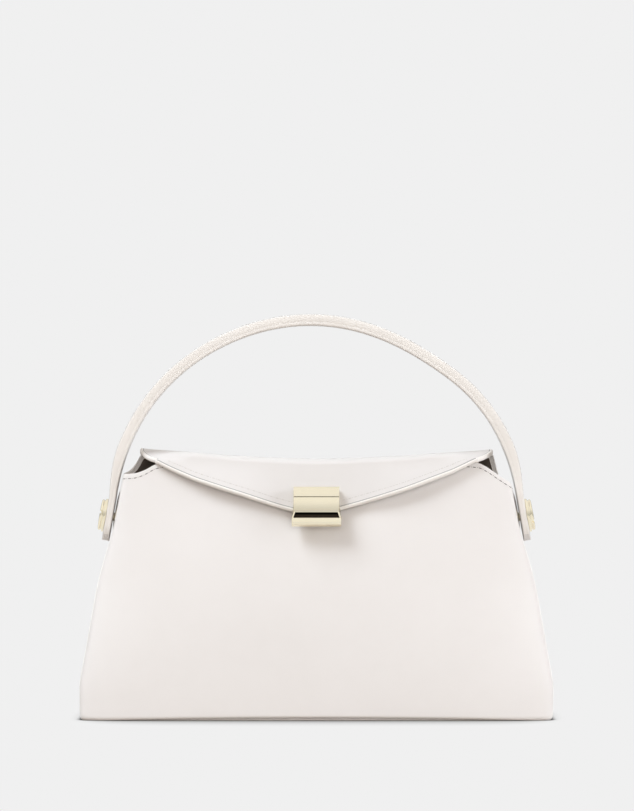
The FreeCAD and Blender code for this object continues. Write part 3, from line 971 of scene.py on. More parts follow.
@dataclass(frozen=True)
class BagForm:
    """Soft form of the body: sections like the CAD form's, with soft shoulders, a belly and an uneven top."""

    base_half_width: float
    base_half_depth: float
    back_height: float
    waist_half_depth: float = 32.0
    rim_half_width: float = 103.7
    rim_half_depth: float = 9.0
    form_height: float = 152.0
    seam_base: float = 30.0
    seam_rim: float = 3.0
    leather: float = 2.0
    lining: float = 1.2
    floor: float = 5.4
    facing_bottom: float = 100.0
    edge_height: float = 136.0
    belly: float = 3.1
    belly_rise: float = 22.0
    belly_fade: Pair = (68.0, 112.0)
    swell: float = 3.2
    back_swell: float = 0.55
    swell_power: float = 0.8
    drape: float = 0.4
    drape_across: Pair = (31.0, 47.0)
    drape_up: Pair = (29.0, 0.8)
    catch_height: float = 118.5
    catch_hold: Pair = (24.0, 16.0)
    foot_roll: float = 1.8
    corner_roll: float = 2.3
    corner_rise: float = 4.8
    corner_power: int = 6
    foot_lift: float = 1.7
    foot_lift_power: int = 8
    foot_share: float = 0.06
    square_base: float = 7.0
    square_waist: float = 3.1
    square_rim: float = 4.5
    waist_height: float = 80.0
    shoulder_height: float = 100.0
    gusset_dip: float = 5.0
    gusset_hollow: float = 0.8
    hollow_height: float = 90.0
    pivot_height: float = 111.0
    pivot_swell: float = 1.2
    pivot_swell_rise: float = 3.0
    pivot_swell_reach: float = 11.0
    front_top: tuple[Pair, ...] = (
        (-107.0, 134.1), (-99.2, 134.8), (-94.6, 136.5), (-88.6, 139.8), (-76.0, 141.6), (0.0, 137.0),
        (76.0, 140.8), (89.3, 140.4), (93.9, 138.3), (99.3, 134.2), (104.9, 130.1), (108.9, 127.2))
    back_top: tuple[Pair, ...] = (
        (-107.0, 134.2), (-104.6, 135.4), (-102.4, 137.6), (-101.0, 140.0), (-100.0, 142.5), (-99.0, 144.6),
        (-95.0, 145.2), (-60.0, 142.0), (0.0, 138.6), (60.0, 141.6), (96.0, 144.8), (99.8, 144.4),
        (100.2, 142.6), (100.6, 136.0), (101.2, 132.4), (104.0, 128.0), (108.0, 126.0))

    def half_width(self, height: float) -> float:
        """Half the width at a height: the CAD form's straight side with a soft belly below the pivot."""
        straight = between(self.base_half_width, self.rim_half_width, height / self.form_height)
        rise = ease(0.0, self.belly_rise, height)
        return straight + self.belly * rise * (1 - ease(*self.belly_fade, height))

    def half_depth(self, height: float) -> float:
        """Half the depth at a height.

        Args:
            height: Level of the section.

        Returns:
            Half the depth, on the curve through base, waist and rim.
        """
        share = height / self.form_height
        at_base = (share - 0.5) * (share - 1) / 0.5
        at_waist = share * (1 - share) / 0.25
        at_rim = share * (share - 0.5) / 0.5
        lower = self.base_half_depth * at_base + self.waist_half_depth * at_waist
        return lower + self.rim_half_depth * at_rim

    def seam(self, height: float) -> float:
        """Distance of the side seams from the middle plane at a height."""
        return between(self.seam_base, self.seam_rim, height / self.form_height)

    def squareness(self, height: float) -> float:
        """How square the level outline is: sharp corners at the base, broad soft shoulders above it."""
        lower = between(self.square_base, self.square_waist, ease(0.0, self.waist_height, height))
        return between(lower, self.square_rim, ease(self.shoulder_height, self.form_height, height))

    def outline(self, height: float, share: float, side: Side, inset: float = 0.0) -> Pair:
        """Point on the level outline of the form.

        Args:
            height: Level of the outline.
            share: From -1 at the left seam to 1 at the right seam.
            side: Front or back half.
            inset: How far the outline is drawn in.

        Returns:
            x and y of the point.
        """
        across = math.sin(math.pi / 2 * share)
        power = self.squareness(height)
        seam = self.seam(height)
        bow = max(1 - abs(across) ** power, 0.0) ** (1 / power)
        depth = seam + (self.half_depth(height) - inset - seam) * bow
        return across * (self.half_width(height) - inset), side.value * depth

    def puff(self, x: float, height: float, side: Side) -> float:
        """How far the soft face stands proud of the form.

        Args:
            x: Place across the bag.
            height: Height of the place.
            side: Front, which the riveted catch holds back, or back.

        Returns:
            The distance.
        """
        across = max(1 - (x / self.half_width(height)) ** 2, 0.0)
        rise = math.sin(math.pi * min(max(height / self.back_height, 0.0), 1.0)) ** self.swell_power
        waves = math.sin(x / self.drape_across[0] + height / self.drape_across[1])
        drape = self.drape * waves * math.sin(height / self.drape_up[0] + self.drape_up[1])
        amount = self.swell if side is Side.FRONT else self.swell * self.back_swell
        away = (x / self.catch_hold[0]) ** 2 + ((height - self.catch_height) / self.catch_hold[1]) ** 2
        held = math.exp(-away ** 2) if side is Side.FRONT else 0.0
        return (amount * across + drape * min(across * 2, 1.0)) * rise * (1 - held)

    def top(self, share: float, side: Side) -> float:
        """Height of a panel's top edge at a share across."""
        x = self.outline(self.edge_height, share, side)[0]
        return along_knots(self.front_top if side is Side.FRONT else self.back_top, x)

    def foot(self, second: float, top: float, corner: float) -> Pair:
        """Roll a wall in at its foot.

        Args:
            second: Share up the wall.
            top: Height of the wall's top edge.
            corner: How far on the way to the bag's corner the place is, from 0 to 1.

        Returns:
            Inset and height of the place.
        """
        roll = between(self.foot_roll, self.corner_roll, corner)
        rise = between(self.foot_roll, self.corner_rise, corner)
        if second < self.foot_share:
            angle = math.pi / 2 * second / self.foot_share
            return roll * (1 - math.sin(angle)), rise * (1 - math.cos(angle))
        return 0.0, between(rise, top, (second - self.foot_share) / (1 - self.foot_share))

    def panel_point(self, first: float, second: float, side: Side) -> Point:
        """Point on a soft panel.

        Args:
            first: Share from the left seam to the right seam.
            second: Share from the foot to the top edge.
            side: Front or back panel.

        Returns:
            The point in millimetres.
        """
        share = 2 * first - 1
        inset, height = self.foot(second, self.top(share, side), abs(share) ** self.corner_power)
        x, y = self.outline(height, share, side, inset)
        y += side.value * self.puff(x, height, side)
        lift = self.foot_lift * max(1 - (x / (self.base_half_width - self.base_half_depth / 4)) ** 2, 0.0)
        return x, y, height + lift * (1 - second) ** self.foot_lift_power

    def gusset_point(self, first: float, second: float, sign: int) -> Point:
        """Point on a gusset.

        Args:
            first: Share from the front seam to the back seam.
            second: Share from the foot to the dipping top edge.
            sign: -1 on the left, 1 on the right.

        Returns:
            The point in millimetres.
        """
        middle = math.sin(math.pi * first)
        ends = between(self.top(sign, Side.FRONT), self.top(sign, Side.BACK), first)
        inset, height = self.foot(second, ends - self.gusset_dip * middle, 1.0)
        seam = self.seam(height)
        hollow = self.gusset_hollow * middle * math.sin(math.pi * min(height / self.hollow_height, 1.0))
        near = bell(height - self.pivot_height - self.pivot_swell_rise, self.pivot_swell_reach, 4)
        swell = self.pivot_swell * middle ** 3 * near
        return sign * (self.half_width(height) - inset - hollow + swell), between(-seam, seam, first), height

    def loop(self, height: float, share: float, inset: float) -> Pair:
        """Point all the way round the form: front, right gusset, back, left gusset.

        Args:
            height: Level of the loop.
            share: From 0 to 1 round the loop, from the left front seam.
            inset: How far the loop is drawn in.

        Returns:
            x and y of the point.
        """
        side, turn, local = self.loop_side(share)
        if local <= 1:
            return self.outline(height, turn * (2 * local - 1), side, inset)
        seam = self.seam(height)
        across = between(-seam, seam, (local - 1) / GUSSET_SHARE)
        return turn * (self.half_width(height) - inset), turn * across

    @staticmethod
    def loop_side(share: float) -> tuple[Side, int, float]:
        """Find a place on the loop.

        Args:
            share: From 0 to 1 round the loop.

        Returns:
            Side, direction and local share; past 1 the place lies on the gusset that follows.
        """
        around = 2 * share * (1 + GUSSET_SHARE)
        if share <= 0.5:
            return Side.FRONT, 1, around
        return Side.BACK, -1, around - (1 + GUSSET_SHARE)

    def loop_top(self, share: float) -> float:
        """Height of the mouth's edge round the loop.

        Args:
            share: From 0 to 1 round the loop.

        Returns:
            The height.
        """
        side, turn, local = self.loop_side(share)
        if local <= 1:
            return self.top(turn * (2 * local - 1), side)
        across = (local - 1) / GUSSET_SHARE
        other = Side.BACK if side is Side.FRONT else Side.FRONT
        dip = self.gusset_dip * math.sin(math.pi * across)
        return between(self.top(turn, side), self.top(turn, other), across) - dip


@dataclass
class LeatherBody:
    """Panels, gussets, floor, lining, facing and pocket of the bag."""

    form: BagForm
    stitch: StitchRun = BODY_STITCH
    panel_faces: tuple[int, int] = (150, 96)
    gusset_faces: tuple[int, int] = (24, 80)
    lining_faces: tuple[int, int] = (160, 40)
    facing_faces: tuple[int, int] = (200, 24)
    pocket_faces: tuple[int, int] = (40, 24)
    rim_round: float = 0.5
    base_gap: float = 0.4
    base_round: float = 0.6
    lining_gap: float = 0.5
    lining_merge: float = 0.05
    facing_lap: float = 1.0
    facing_drop: float = 1.4
    facing_ease: float = 0.2
    pocket_half_width: float = 65.0
    pocket_bottom: float = 36.0
    pocket_top: float = 96.0
    pocket_cloth: float = 0.9
    pocket_gap: float = 0.9
    pocket_slack: float = 1.6
    pocket_sag: float = 1.5
    face_bow: float = 3600.0
    seam_inset: float = 2.7
    seam_start: float = 0.02
    seam_span: float = 0.96
    rim_rows: int = 120
    ridge_radius: float = 0.75
    ridge_ends: Pair = (0.02, 0.995)
    ridge_rows: int = 60
    ridge_inset: float = 0.33
    flat_inset: float = 0.6
    flat_rise: float = 6.0
    flat_reach: float = 24.0

    def build(self) -> None:
        """Make all pieces of the body."""
        for side, node in ((Side.FRONT, "front_panel"), (Side.BACK, "back_panel")):
            self.wall(node, self.panel_faces, partial(self.form.panel_point, side=side), side.value, 1)
        for sign, node in ((-1, "left_gusset"), (1, "right_gusset")):
            self.wall(node, self.gusset_faces, partial(self.form.gusset_point, sign=sign), sign, 0)
        self.floor_panel()
        self.inside()
        self.pocket()
        self.top_stitches()
        self.side_seams()

    def wall(self, node: str, faces: tuple[int, int], place: Place, sign: int, axis: int) -> None:
        """Lay one soft wall between its seams, from the foot to its top edge.

        Args:
            node: CAD node that it stands for.
            faces: How many faces it has across and up.
            place: Its outer surface.
            sign: Side of the bag on which it lies.
            axis: Axis of that side, 0 for X and 1 for Y.
        """
        piece = shaped_grid(f"soft_{node}", *faces, place)
        tidy_mesh(piece)
        face_away(piece, sign, axis)
        make_sheet(piece, LEATHER, self.form.leather, self.rim_round)
        hand_over(piece, Body.BAG, Slot.LEATHER, node)

    def ring(self, height: float, inset: float, count: int = 160) -> list[Point]:
        """Level ring of points round the form."""
        return [(*self.form.loop(height, index / count, inset), height) for index in range(count)]

    def floor_panel(self) -> None:
        """Make the base panel with its softened rim."""
        piece = shaped_disc("soft_base_panel", self.ring(0.0, self.form.leather + self.base_gap))
        edit_all(piece)
        thickness = (0.0, 0.0, self.form.leather * MM)
        bpy.ops.mesh.extrude_region_move(TRANSFORM_OT_translate={"value": thickness})
        leave_edit()
        tidy_mesh(piece)
        dress(piece, LEATHER.material())
        soften(piece, self.base_round, RIM_ANGLE, 3)
        smooth(piece)
        hand_over(piece, Body.BAG, Slot.LEATHER, "base_panel")

    def inside(self) -> None:
        """Make the dark lining with its floor, and the leather facing round the mouth in dark taupe, which is
        painted shade.
        """
        inset = self.form.leather + self.lining_gap
        seam_height = self.form.facing_bottom

        def wall(first: float, second: float) -> Point:
            """Point of the lining for a share round the bag and a share up to the facing."""
            height = between(self.form.floor, seam_height, second)
            return (*self.form.loop(height, first, inset), height)

        def band(first: float, second: float) -> Point:
            """Point of the facing for a share round the mouth and a share up to its edge."""
            top = self.form.loop_top(first) - self.facing_drop
            height = between(seam_height - self.facing_lap, top, second)
            return (*self.form.loop(height, first, inset - self.facing_ease), height)

        lining = shaped_grid("soft_lining", *self.lining_faces, wall)
        floor = shaped_disc("lining_floor", self.ring(self.form.floor, inset))
        for piece in (lining, floor):
            tidy_mesh(piece)
        make_active(lining)
        floor.select_set(True)
        bpy.ops.object.join()
        tidy_mesh(lining, self.lining_merge)
        dress(lining, LINING.material())
        thicken(lining, self.form.lining)
        smooth(lining, SHEET_ANGLE)
        hand_over(lining, Body.BAG, Slot.LINING, "lining")
        facing = shaped_grid("soft_mouth_facing", *self.facing_faces, band)
        tidy_mesh(facing)
        # The facing's dark taupe is painted shade
        make_sheet(facing, FACING_PAINTED_SHADE, self.form.lining, angle=SHEET_ANGLE)
        hand_over(facing, Body.BAG, Slot.LEATHER, "mouth_facing")

    def pocket(self) -> None:
        """Make the slip pocket on the inside of the back, a little slack at its top edge."""
        inset = self.form.leather + self.form.lining + self.pocket_gap

        def place(first: float, second: float) -> Point:
            """Point of the pocket.

            Args:
                first: Share across.
                second: Share up.

            Returns:
                The point in millimetres.
            """
            x = between(-self.pocket_half_width, self.pocket_half_width, first)
            height = between(self.pocket_bottom, self.pocket_top, second)
            across = 1 - (x / self.pocket_half_width) ** 2
            slack = self.pocket_slack * across * second ** 2
            sag = self.pocket_sag * across * second ** 3
            fall = self.form.half_depth(height) - x * x / self.face_bow
            return x, fall - inset - slack, height - sag

        piece = shaped_grid("soft_slip_pocket", *self.pocket_faces, place)
        tidy_mesh(piece)
        face_away(piece, -1)
        make_sheet(piece, LINING, self.pocket_cloth)
        hand_over(piece, Body.BAG, Slot.LINING, "slip_pocket")

    def top_stitches(self) -> None:
        """Sew along the top edge of the front panel, a little below it."""
        place = partial(self.form.panel_point, side=Side.FRONT)
        shares = []
        for index in range(self.rim_rows + 1):
            first = self.seam_start + self.seam_span * index / self.rim_rows
            drop = self.seam_inset / (place(first, 1.0)[2] - place(first, 0.5)[2]) * 0.5
            shares.append((first, 1.0 - drop))
        hand_over(self.stitch.sew_on("stitches_front_top", place, shares), Body.BAG, Slot.LEATHER)

    def side_seams(self) -> None:
        """Lay a narrow ridge of edge-painted leather along the four side seams, flatter beside the handle;
        its near-white tone, paler than the painted edge, is painted highlight.
        """
        for side in Side:
            for sign, label in ((-1, "left"), (1, "right")):
                points = []
                for index in range(self.ridge_rows + 1):
                    up = between(*self.ridge_ends, index / self.ridge_rows)
                    x, y, z = self.form.panel_point(0.5 + sign / 2, up, side)
                    flat = bell(z - self.form.pivot_height - self.flat_rise, self.flat_reach, 4)
                    inset = self.ridge_inset + self.flat_inset * flat
                    points.append((x - sign * self.ridge_radius * inset, y, z))
                piece = swept_bead(f"ridge_{side.name.lower()}_{label}", points, self.ridge_radius)
                # The ridge's near-white colour is painted highlight
                dress(piece, RIDGE_HIGHLIGHT.material())
                smooth(piece, BEAD_ANGLE)
                hand_over(piece, Body.BAG, Slot.LEATHER)


# The flap


@dataclass
class SoftFlap:
    """Leather flap: sewn to the back below the top edge, folded over the mouth and cut to a wide V."""

    form: BagForm
    stitch: StitchRun = FLAP_STITCH
    outer: float = 1.4
    inner: float = 0.8
    apron_bottom: float = 124.0
    apron_stand: float = 2.6
    hinge_half_width: float = 97.4
    fold_half_width: float = 88.8
    narrow_from: float = 2.0
    narrow_to: float = -14.4
    narrow_power: float = 1.6
    top_left: float = 148.6
    top_right: float = 147.8
    top_middle: float = 142.2
    top_power: float = 1.7
    crest_rise: float = 0.4
    middle_rise: float = 0.2
    middle_droop: float = 0.4
    brow_back: float = 1.2
    brow_end: float = -9.0
    brow_drop: float = 0.3
    fold_drop: float = 5.0
    fold_droop: float = 0.25
    fold_room: float = 1.0
    edge_curl: float = 3.0
    curl_rise: Pair = (0.17, 0.5)
    curl_fade: Pair = (0.62, 1.0)
    droop_left: float = 4.6
    droop_right: float = 3.2
    droop_start: float = 0.74
    front_height: float = 142.0
    gap_top: float = 1.2
    gap_tip: float = 3.4
    tip_height: float = 112.5
    bend_length: float = 7.0
    band_width: float = 1.2
    band_proud: float = 0.16
    band_start: float = 0.0
    band_rows: tuple[int, int] = (24, 160)
    band_margin: float = 0.004
    crease_width: float = 0.4
    seam_inset: float = 4.6
    seam_ends: Pair = (0.035, 0.965)
    seam_rows: int = 60
    apron_seam: float = 0.06
    apron_seam_start: float = 0.02
    apron_seam_span: float = 0.96
    apron_seam_rows: int = 100
    clasp_clear: float = 13.5
    columns: int = 150
    rows: int = 72
    edge_knots: tuple[Pair, ...] = (
        (-88.8, 141.2), (-85.4, 139.4), (-78.1, 135.8), (-63.9, 129.6), (-36.4, 120.8), (-11.7, 114.2),
        (-0.5, 112.2), (14.6, 115.7), (45.8, 124.0), (73.3, 134.6), (81.7, 138.6), (85.4, 140.5),
        (88.8, 142.0))
    lines: dict[float, tuple[np.ndarray, float]] = field(default_factory=dict)

    @property
    def thickness(self) -> float:
        """Thickness of leather and lining together."""
        return self.outer + self.inner

    def face(self) -> tuple[np.ndarray, np.ndarray, np.ndarray]:
        """The slanting front plane.

        Returns:
            A point of its outer face, the way down and the way out, as (y, z).
        """
        upper = np.array([-self.form.half_depth(self.front_height) - self.gap_top, self.front_height])
        lower = np.array([-self.form.half_depth(self.tip_height) - self.gap_tip, self.tip_height])
        down = (lower - upper) / np.linalg.norm(lower - upper)
        out = np.array([down[1], -down[0]])
        return upper + out * self.thickness, down, out

    def on_face(self, height: float) -> np.ndarray:
        """Point of the front plane's outer face at a height, as (y, z)."""
        start, down, _ = self.face()
        return start + down * ((height - start[1]) / down[1])

    def path(self, first: float) -> np.ndarray:
        """Line of the outer face from the apron's foot over the fold to the V edge.

        Args:
            first: Share across the flap, from its left end.

        Returns:
            Points as (y, z).
        """
        across = 2 * first - 1
        ends = self.top_left if across < 0 else self.top_right
        top = between(self.top_middle, ends, abs(across) ** self.top_power)
        shoulder = top - self.fold_drop
        edge = along_knots(self.edge_knots, across * self.fold_half_width)
        foot_y = self.form.half_depth(self.apron_bottom) + self.apron_stand
        shoulder_y = self.form.half_depth(shoulder) + self.apron_stand
        crest_y = self.form.half_depth(self.form.back_height)
        share = ease(self.droop_start, 1.0, abs(across))
        droop = share * (self.droop_left if across < 0 else self.droop_right)
        turn = self.on_face(max(shoulder - self.fold_droop * droop, edge + self.fold_room))
        last = self.on_face(edge) + self.face()[2] * self.curl(across)
        middle = (0.0, top + self.middle_rise - self.middle_droop * droop)
        brow = (between(turn[0] + self.brow_back, self.brow_end, share), top - self.brow_drop - droop)
        return rounded_line([(foot_y, self.apron_bottom), (shoulder_y, shoulder),
                             (crest_y, top + self.crest_rise), middle, brow, tuple(turn), tuple(last)])

    def curl(self, across: float) -> float:
        """How far the V edge curls off the bag between the clasp and the flap's ends."""
        return self.edge_curl * ease(*self.curl_rise, abs(across)) * (1 - ease(*self.curl_fade, abs(across)))

    def half_width(self, y: float) -> float:
        """Half the flap's width, curving in from the hinge to the front fold so that it passes the handle."""
        share = min(max((self.narrow_from - y) / (self.narrow_from - self.narrow_to), 0.0), 1.0)
        return between(self.hinge_half_width, self.fold_half_width, share ** self.narrow_power)

    def point(self, first: float, second: float) -> Point:
        """Point of the outer face.

        Args:
            first: Share across the flap.
            second: Share from the apron's foot to the V edge.

        Returns:
            The point in millimetres.
        """
        if first not in self.lines:
            line = self.path(first)
            self.lines[first] = (line, line_length(line))
        line, length = self.lines[first]
        y, z = at_length(line, second * length)
        return (2 * first - 1) * self.half_width(y), float(y), float(z)

    def build(self) -> None:
        """Make the skin with its lining, the bound edge and the seams."""
        self.skin()
        self.edge()
        self.seams()

    def bend(self, piece: Piece, *nodes: str) -> None:
        """Bake a piece's placement into its mesh, and hide the CAD nodes that it stands for.

        Args:
            piece: The piece.
            nodes: CAD nodes that it stands for.
        """
        if nodes:
            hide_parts(*nodes)
        hinge = self.form.half_depth(self.form.back_height)
        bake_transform(piece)
        LOG.info("%s bends at the fold, %d faces", piece.name, len(piece.data.polygons))

    def skin(self) -> None:
        """Lay the outer leather and the lining under it."""
        outer = shaped_grid("soft_flap", self.columns, self.rows, self.point)
        tidy_mesh(outer)
        face_away(outer, 1, 2)
        lining = outer.copy()
        lining.data = outer.data.copy()
        lining.name = "soft_flap_lining"
        bpy.context.collection.objects.link(lining)
        for vertex, source in zip(lining.data.vertices, outer.data.vertices):
            vertex.co = source.co - source.normal * self.outer * MM
        layers = ((outer, self.outer, "flap_outer"), (lining, self.inner, "flap_lining"))
        for piece, thickness, node in layers:
            # Both layers take the darker flap calf, which is painted shade against the top light
            make_sheet(piece, FLAP, thickness)
            self.bend(piece, node)

    def edge(self) -> None:
        """Bind the edge along both ends and the V with a narrow band of leather, with a dark strip beside it
        as painted shade of the crease.
        """
        end_rows, rows = self.band_rows
        side = [between(self.band_start, 1.0, index / end_rows) for index in range(end_rows)]
        shares = [(0.0, second) for second in side]
        shares += [(index / rows, 1.0) for index in range(rows + 1)]
        shares += [(1.0, second) for second in reversed(side)]
        line = on_surface(self.point, shares)
        near, far = self.band_margin, 1 - self.band_margin
        inner = [(min(max(first, near), far), min(second, far)) for first, second in shares]
        normals = surface_normals(self.point, inner, -1.0)
        low, high, wide = -self.thickness - self.band_proud, self.band_proud, self.band_width
        half = [(wide, 0.2), (wide - 0.2, 0.0), (0.3, 0.0), (-0.2, 0.35), (-0.42, 0.9)]
        profile = [(over, high - drop) for over, drop in half]
        profile += [(over, low + drop) for over, drop in reversed(half)]
        piece = swept_profile("flap_bound_edge", line, normals, profile)
        dress(piece, EDGE.material())
        smooth(piece, BEAD_ANGLE)
        self.bend(piece)
        near, far = wide - 0.1, wide + self.crease_width
        # The dark strip in the corner beside the band is painted shade of the crease
        groove = [(near, -0.2), (far, -0.2), (far, 0.05), (near, 0.12)]
        piece = swept_profile("flap_crease_shade", line, normals, groove)
        dress(piece, CREASE_SHADE.material())
        self.bend(piece)

    def seams(self) -> None:
        """Sew along the V on both sides of the clasp, and along the apron's foot at the back."""
        clear = self.clasp_clear / (2 * self.fold_half_width)
        runs = {"left": (self.seam_ends[0], 0.5 - clear), "right": (0.5 + clear, self.seam_ends[1])}
        for label, ends in runs.items():
            shares = []
            for index in range(self.seam_rows + 1):
                across = between(*ends, index / self.seam_rows)
                shares.append((across, 1 - self.seam_inset / line_length(self.path(across))))
            run = self.stitch.sew_on(f"stitches_flap_{label}", self.point, shares, -1.0)
            hand_over(run, Body.FLAP, Slot.LEATHER)
        rows, shares = self.apron_seam_rows, []
        for index in range(rows + 1):
            shares.append((self.apron_seam_start + self.apron_seam_span * index / rows, self.apron_seam))
        hand_over(self.stitch.sew_on("stitches_apron", self.point, shares, -1.0), Body.BAG, Slot.LEATHER)


# The clasp


@dataclass
class Clasp:
    """Gold clasp on the tip of the flap: a fixed bar and the lift tab hinged under it."""

    flap: SoftFlap
    middle_height: float = 115.1
    half_width: float = 12.6
    lip_half_width: float = 13.6
    half_height: float = 11.3
    plate: float = 1.2
    plate_bottom: float = -8.9
    depth: float = 6.0
    bar_bottom: float = 5.2
    bar_nose: float = 1.3
    pin: Pair = (3.8, 3.75)
    knuckle: float = 2.25
    relief: float = 2.5
    scoop_top: float = -3.75
    scoop_bottom: float = -7.35
    scoop_floor: float = 3.4
    cheek: float = 0.9
    lip_depth: float = 6.8
    back: float = 1.55
    edge_round: float = 0.3
    facet_angle: float = 12.0
    arc_points: int = 25
    nose_points: int = 12

    def place(self, across: float, up: float, out: float) -> Point:
        """Turn the clasp's own axes into the row frame.

        Args:
            across: Distance to the right of the middle.
            up: Distance up the flap's face from the clasp's middle.
            out: Distance off the flap's face.

        Returns:
            The point in millimetres.
        """
        _, down, outward = self.flap.face()
        y, z = self.flap.on_face(self.middle_height) - down * up + outward * out
        return across, float(y), float(z)

    def half(self, up: float) -> float:
        """Half the tab's width at a height: straight above the scoop and on the lip, flaring between them."""
        share = min(max((self.scoop_top - up) / (self.scoop_top - self.scoop_bottom), 0.0), 1.0)
        return between(self.half_width, self.lip_half_width, share)

    def round_pin(self, radius: float, start: float, stop: float) -> list[Pair]:
        """Arc about the pin between two angles in degrees from straight up towards the front."""
        up, out = self.pin
        turns = np.radians(np.linspace(start, stop, self.arc_points))
        return [(up + radius * math.cos(turn), out + radius * math.sin(turn)) for turn in turns]

    def build(self) -> None:
        """Make the bar and the lift tab."""
        self.bar()
        self.tab()

    def bar(self) -> None:
        """Make the fixed bar on its plate, rounded to the front and hollowed over the tab's knuckle."""
        top, nose = self.half_height, self.bar_nose
        profile = [(top, 0.0), (top, self.depth - nose)]
        profile += [(top - nose + nose * math.cos(turn), self.depth - nose + nose * math.sin(turn))
                    for turn in np.linspace(0.0, math.pi / 2, self.nose_points)[1:]]
        corner = math.degrees(math.acos((self.bar_bottom - self.pin[0]) / self.relief))
        profile += self.round_pin(self.relief, corner, -corner)
        profile += [(self.bar_bottom - 1.0, self.plate), (self.plate_bottom, self.plate)]
        profile += [(self.plate_bottom, 0.0)]
        piece = profile_bar("gold_clasp_bar", profile, lambda up: self.half_width, self.place)
        dress(piece, GOLD.material())
        soften(piece, self.edge_round, 40.0, 3)
        smooth(piece, self.facet_angle)
        hand_over(piece, Body.FLAP, Slot.GOLD, "clasp_base")

    def tab(self) -> None:
        """Make the lift tab: a knuckle on the pin, a plain face, a scoop in near-black metal as painted shade
        and dark reflection, and a square lip.
        """
        foot, lip = -self.half_height, self.lip_depth
        profile = self.round_pin(self.knuckle, -90.0, 90.0)
        profile += [(1.4, self.depth), (-1.2, self.depth - 0.25), (self.scoop_top + 0.25, self.depth - 0.8)]
        profile += [(self.scoop_bottom, lip - 0.5), (self.scoop_bottom - 0.3, lip), (foot + 0.6, lip - 0.1),
                    (foot, lip - 0.8), (foot, self.back + 1.2), (foot + 1.2, self.back)]
        piece = profile_bar("gold_clasp_tab", profile, self.half, self.place)
        soften(piece, self.edge_round, 40.0, 3)
        # The second slot is the scoop's near-black painted shade and dark reflection
        dress(piece, GOLD.material(), SCOOP_PAINTED_DARK.material())
        beyond = lip + 4.0
        opening = [(self.scoop_top, self.scoop_floor), (self.scoop_top, beyond), (self.scoop_bottom, beyond),
                   (self.scoop_bottom, self.scoop_floor)]
        cutter = profile_bar("scoop_cutter", opening, lambda up: self.half(up) - self.cheek, self.place)
        # The cutter's faces become the scoop's faces and carry the painted dark
        dress(cutter, GOLD.material(), SCOOP_PAINTED_DARK.material())
        for face in cutter.data.polygons:
            face.material_index = 1
        cut_away(piece, cutter)
        smooth(piece, self.facet_angle)
        hand_over(piece, Body.LEVER, Slot.GOLD, "clasp_lever")


# The handle


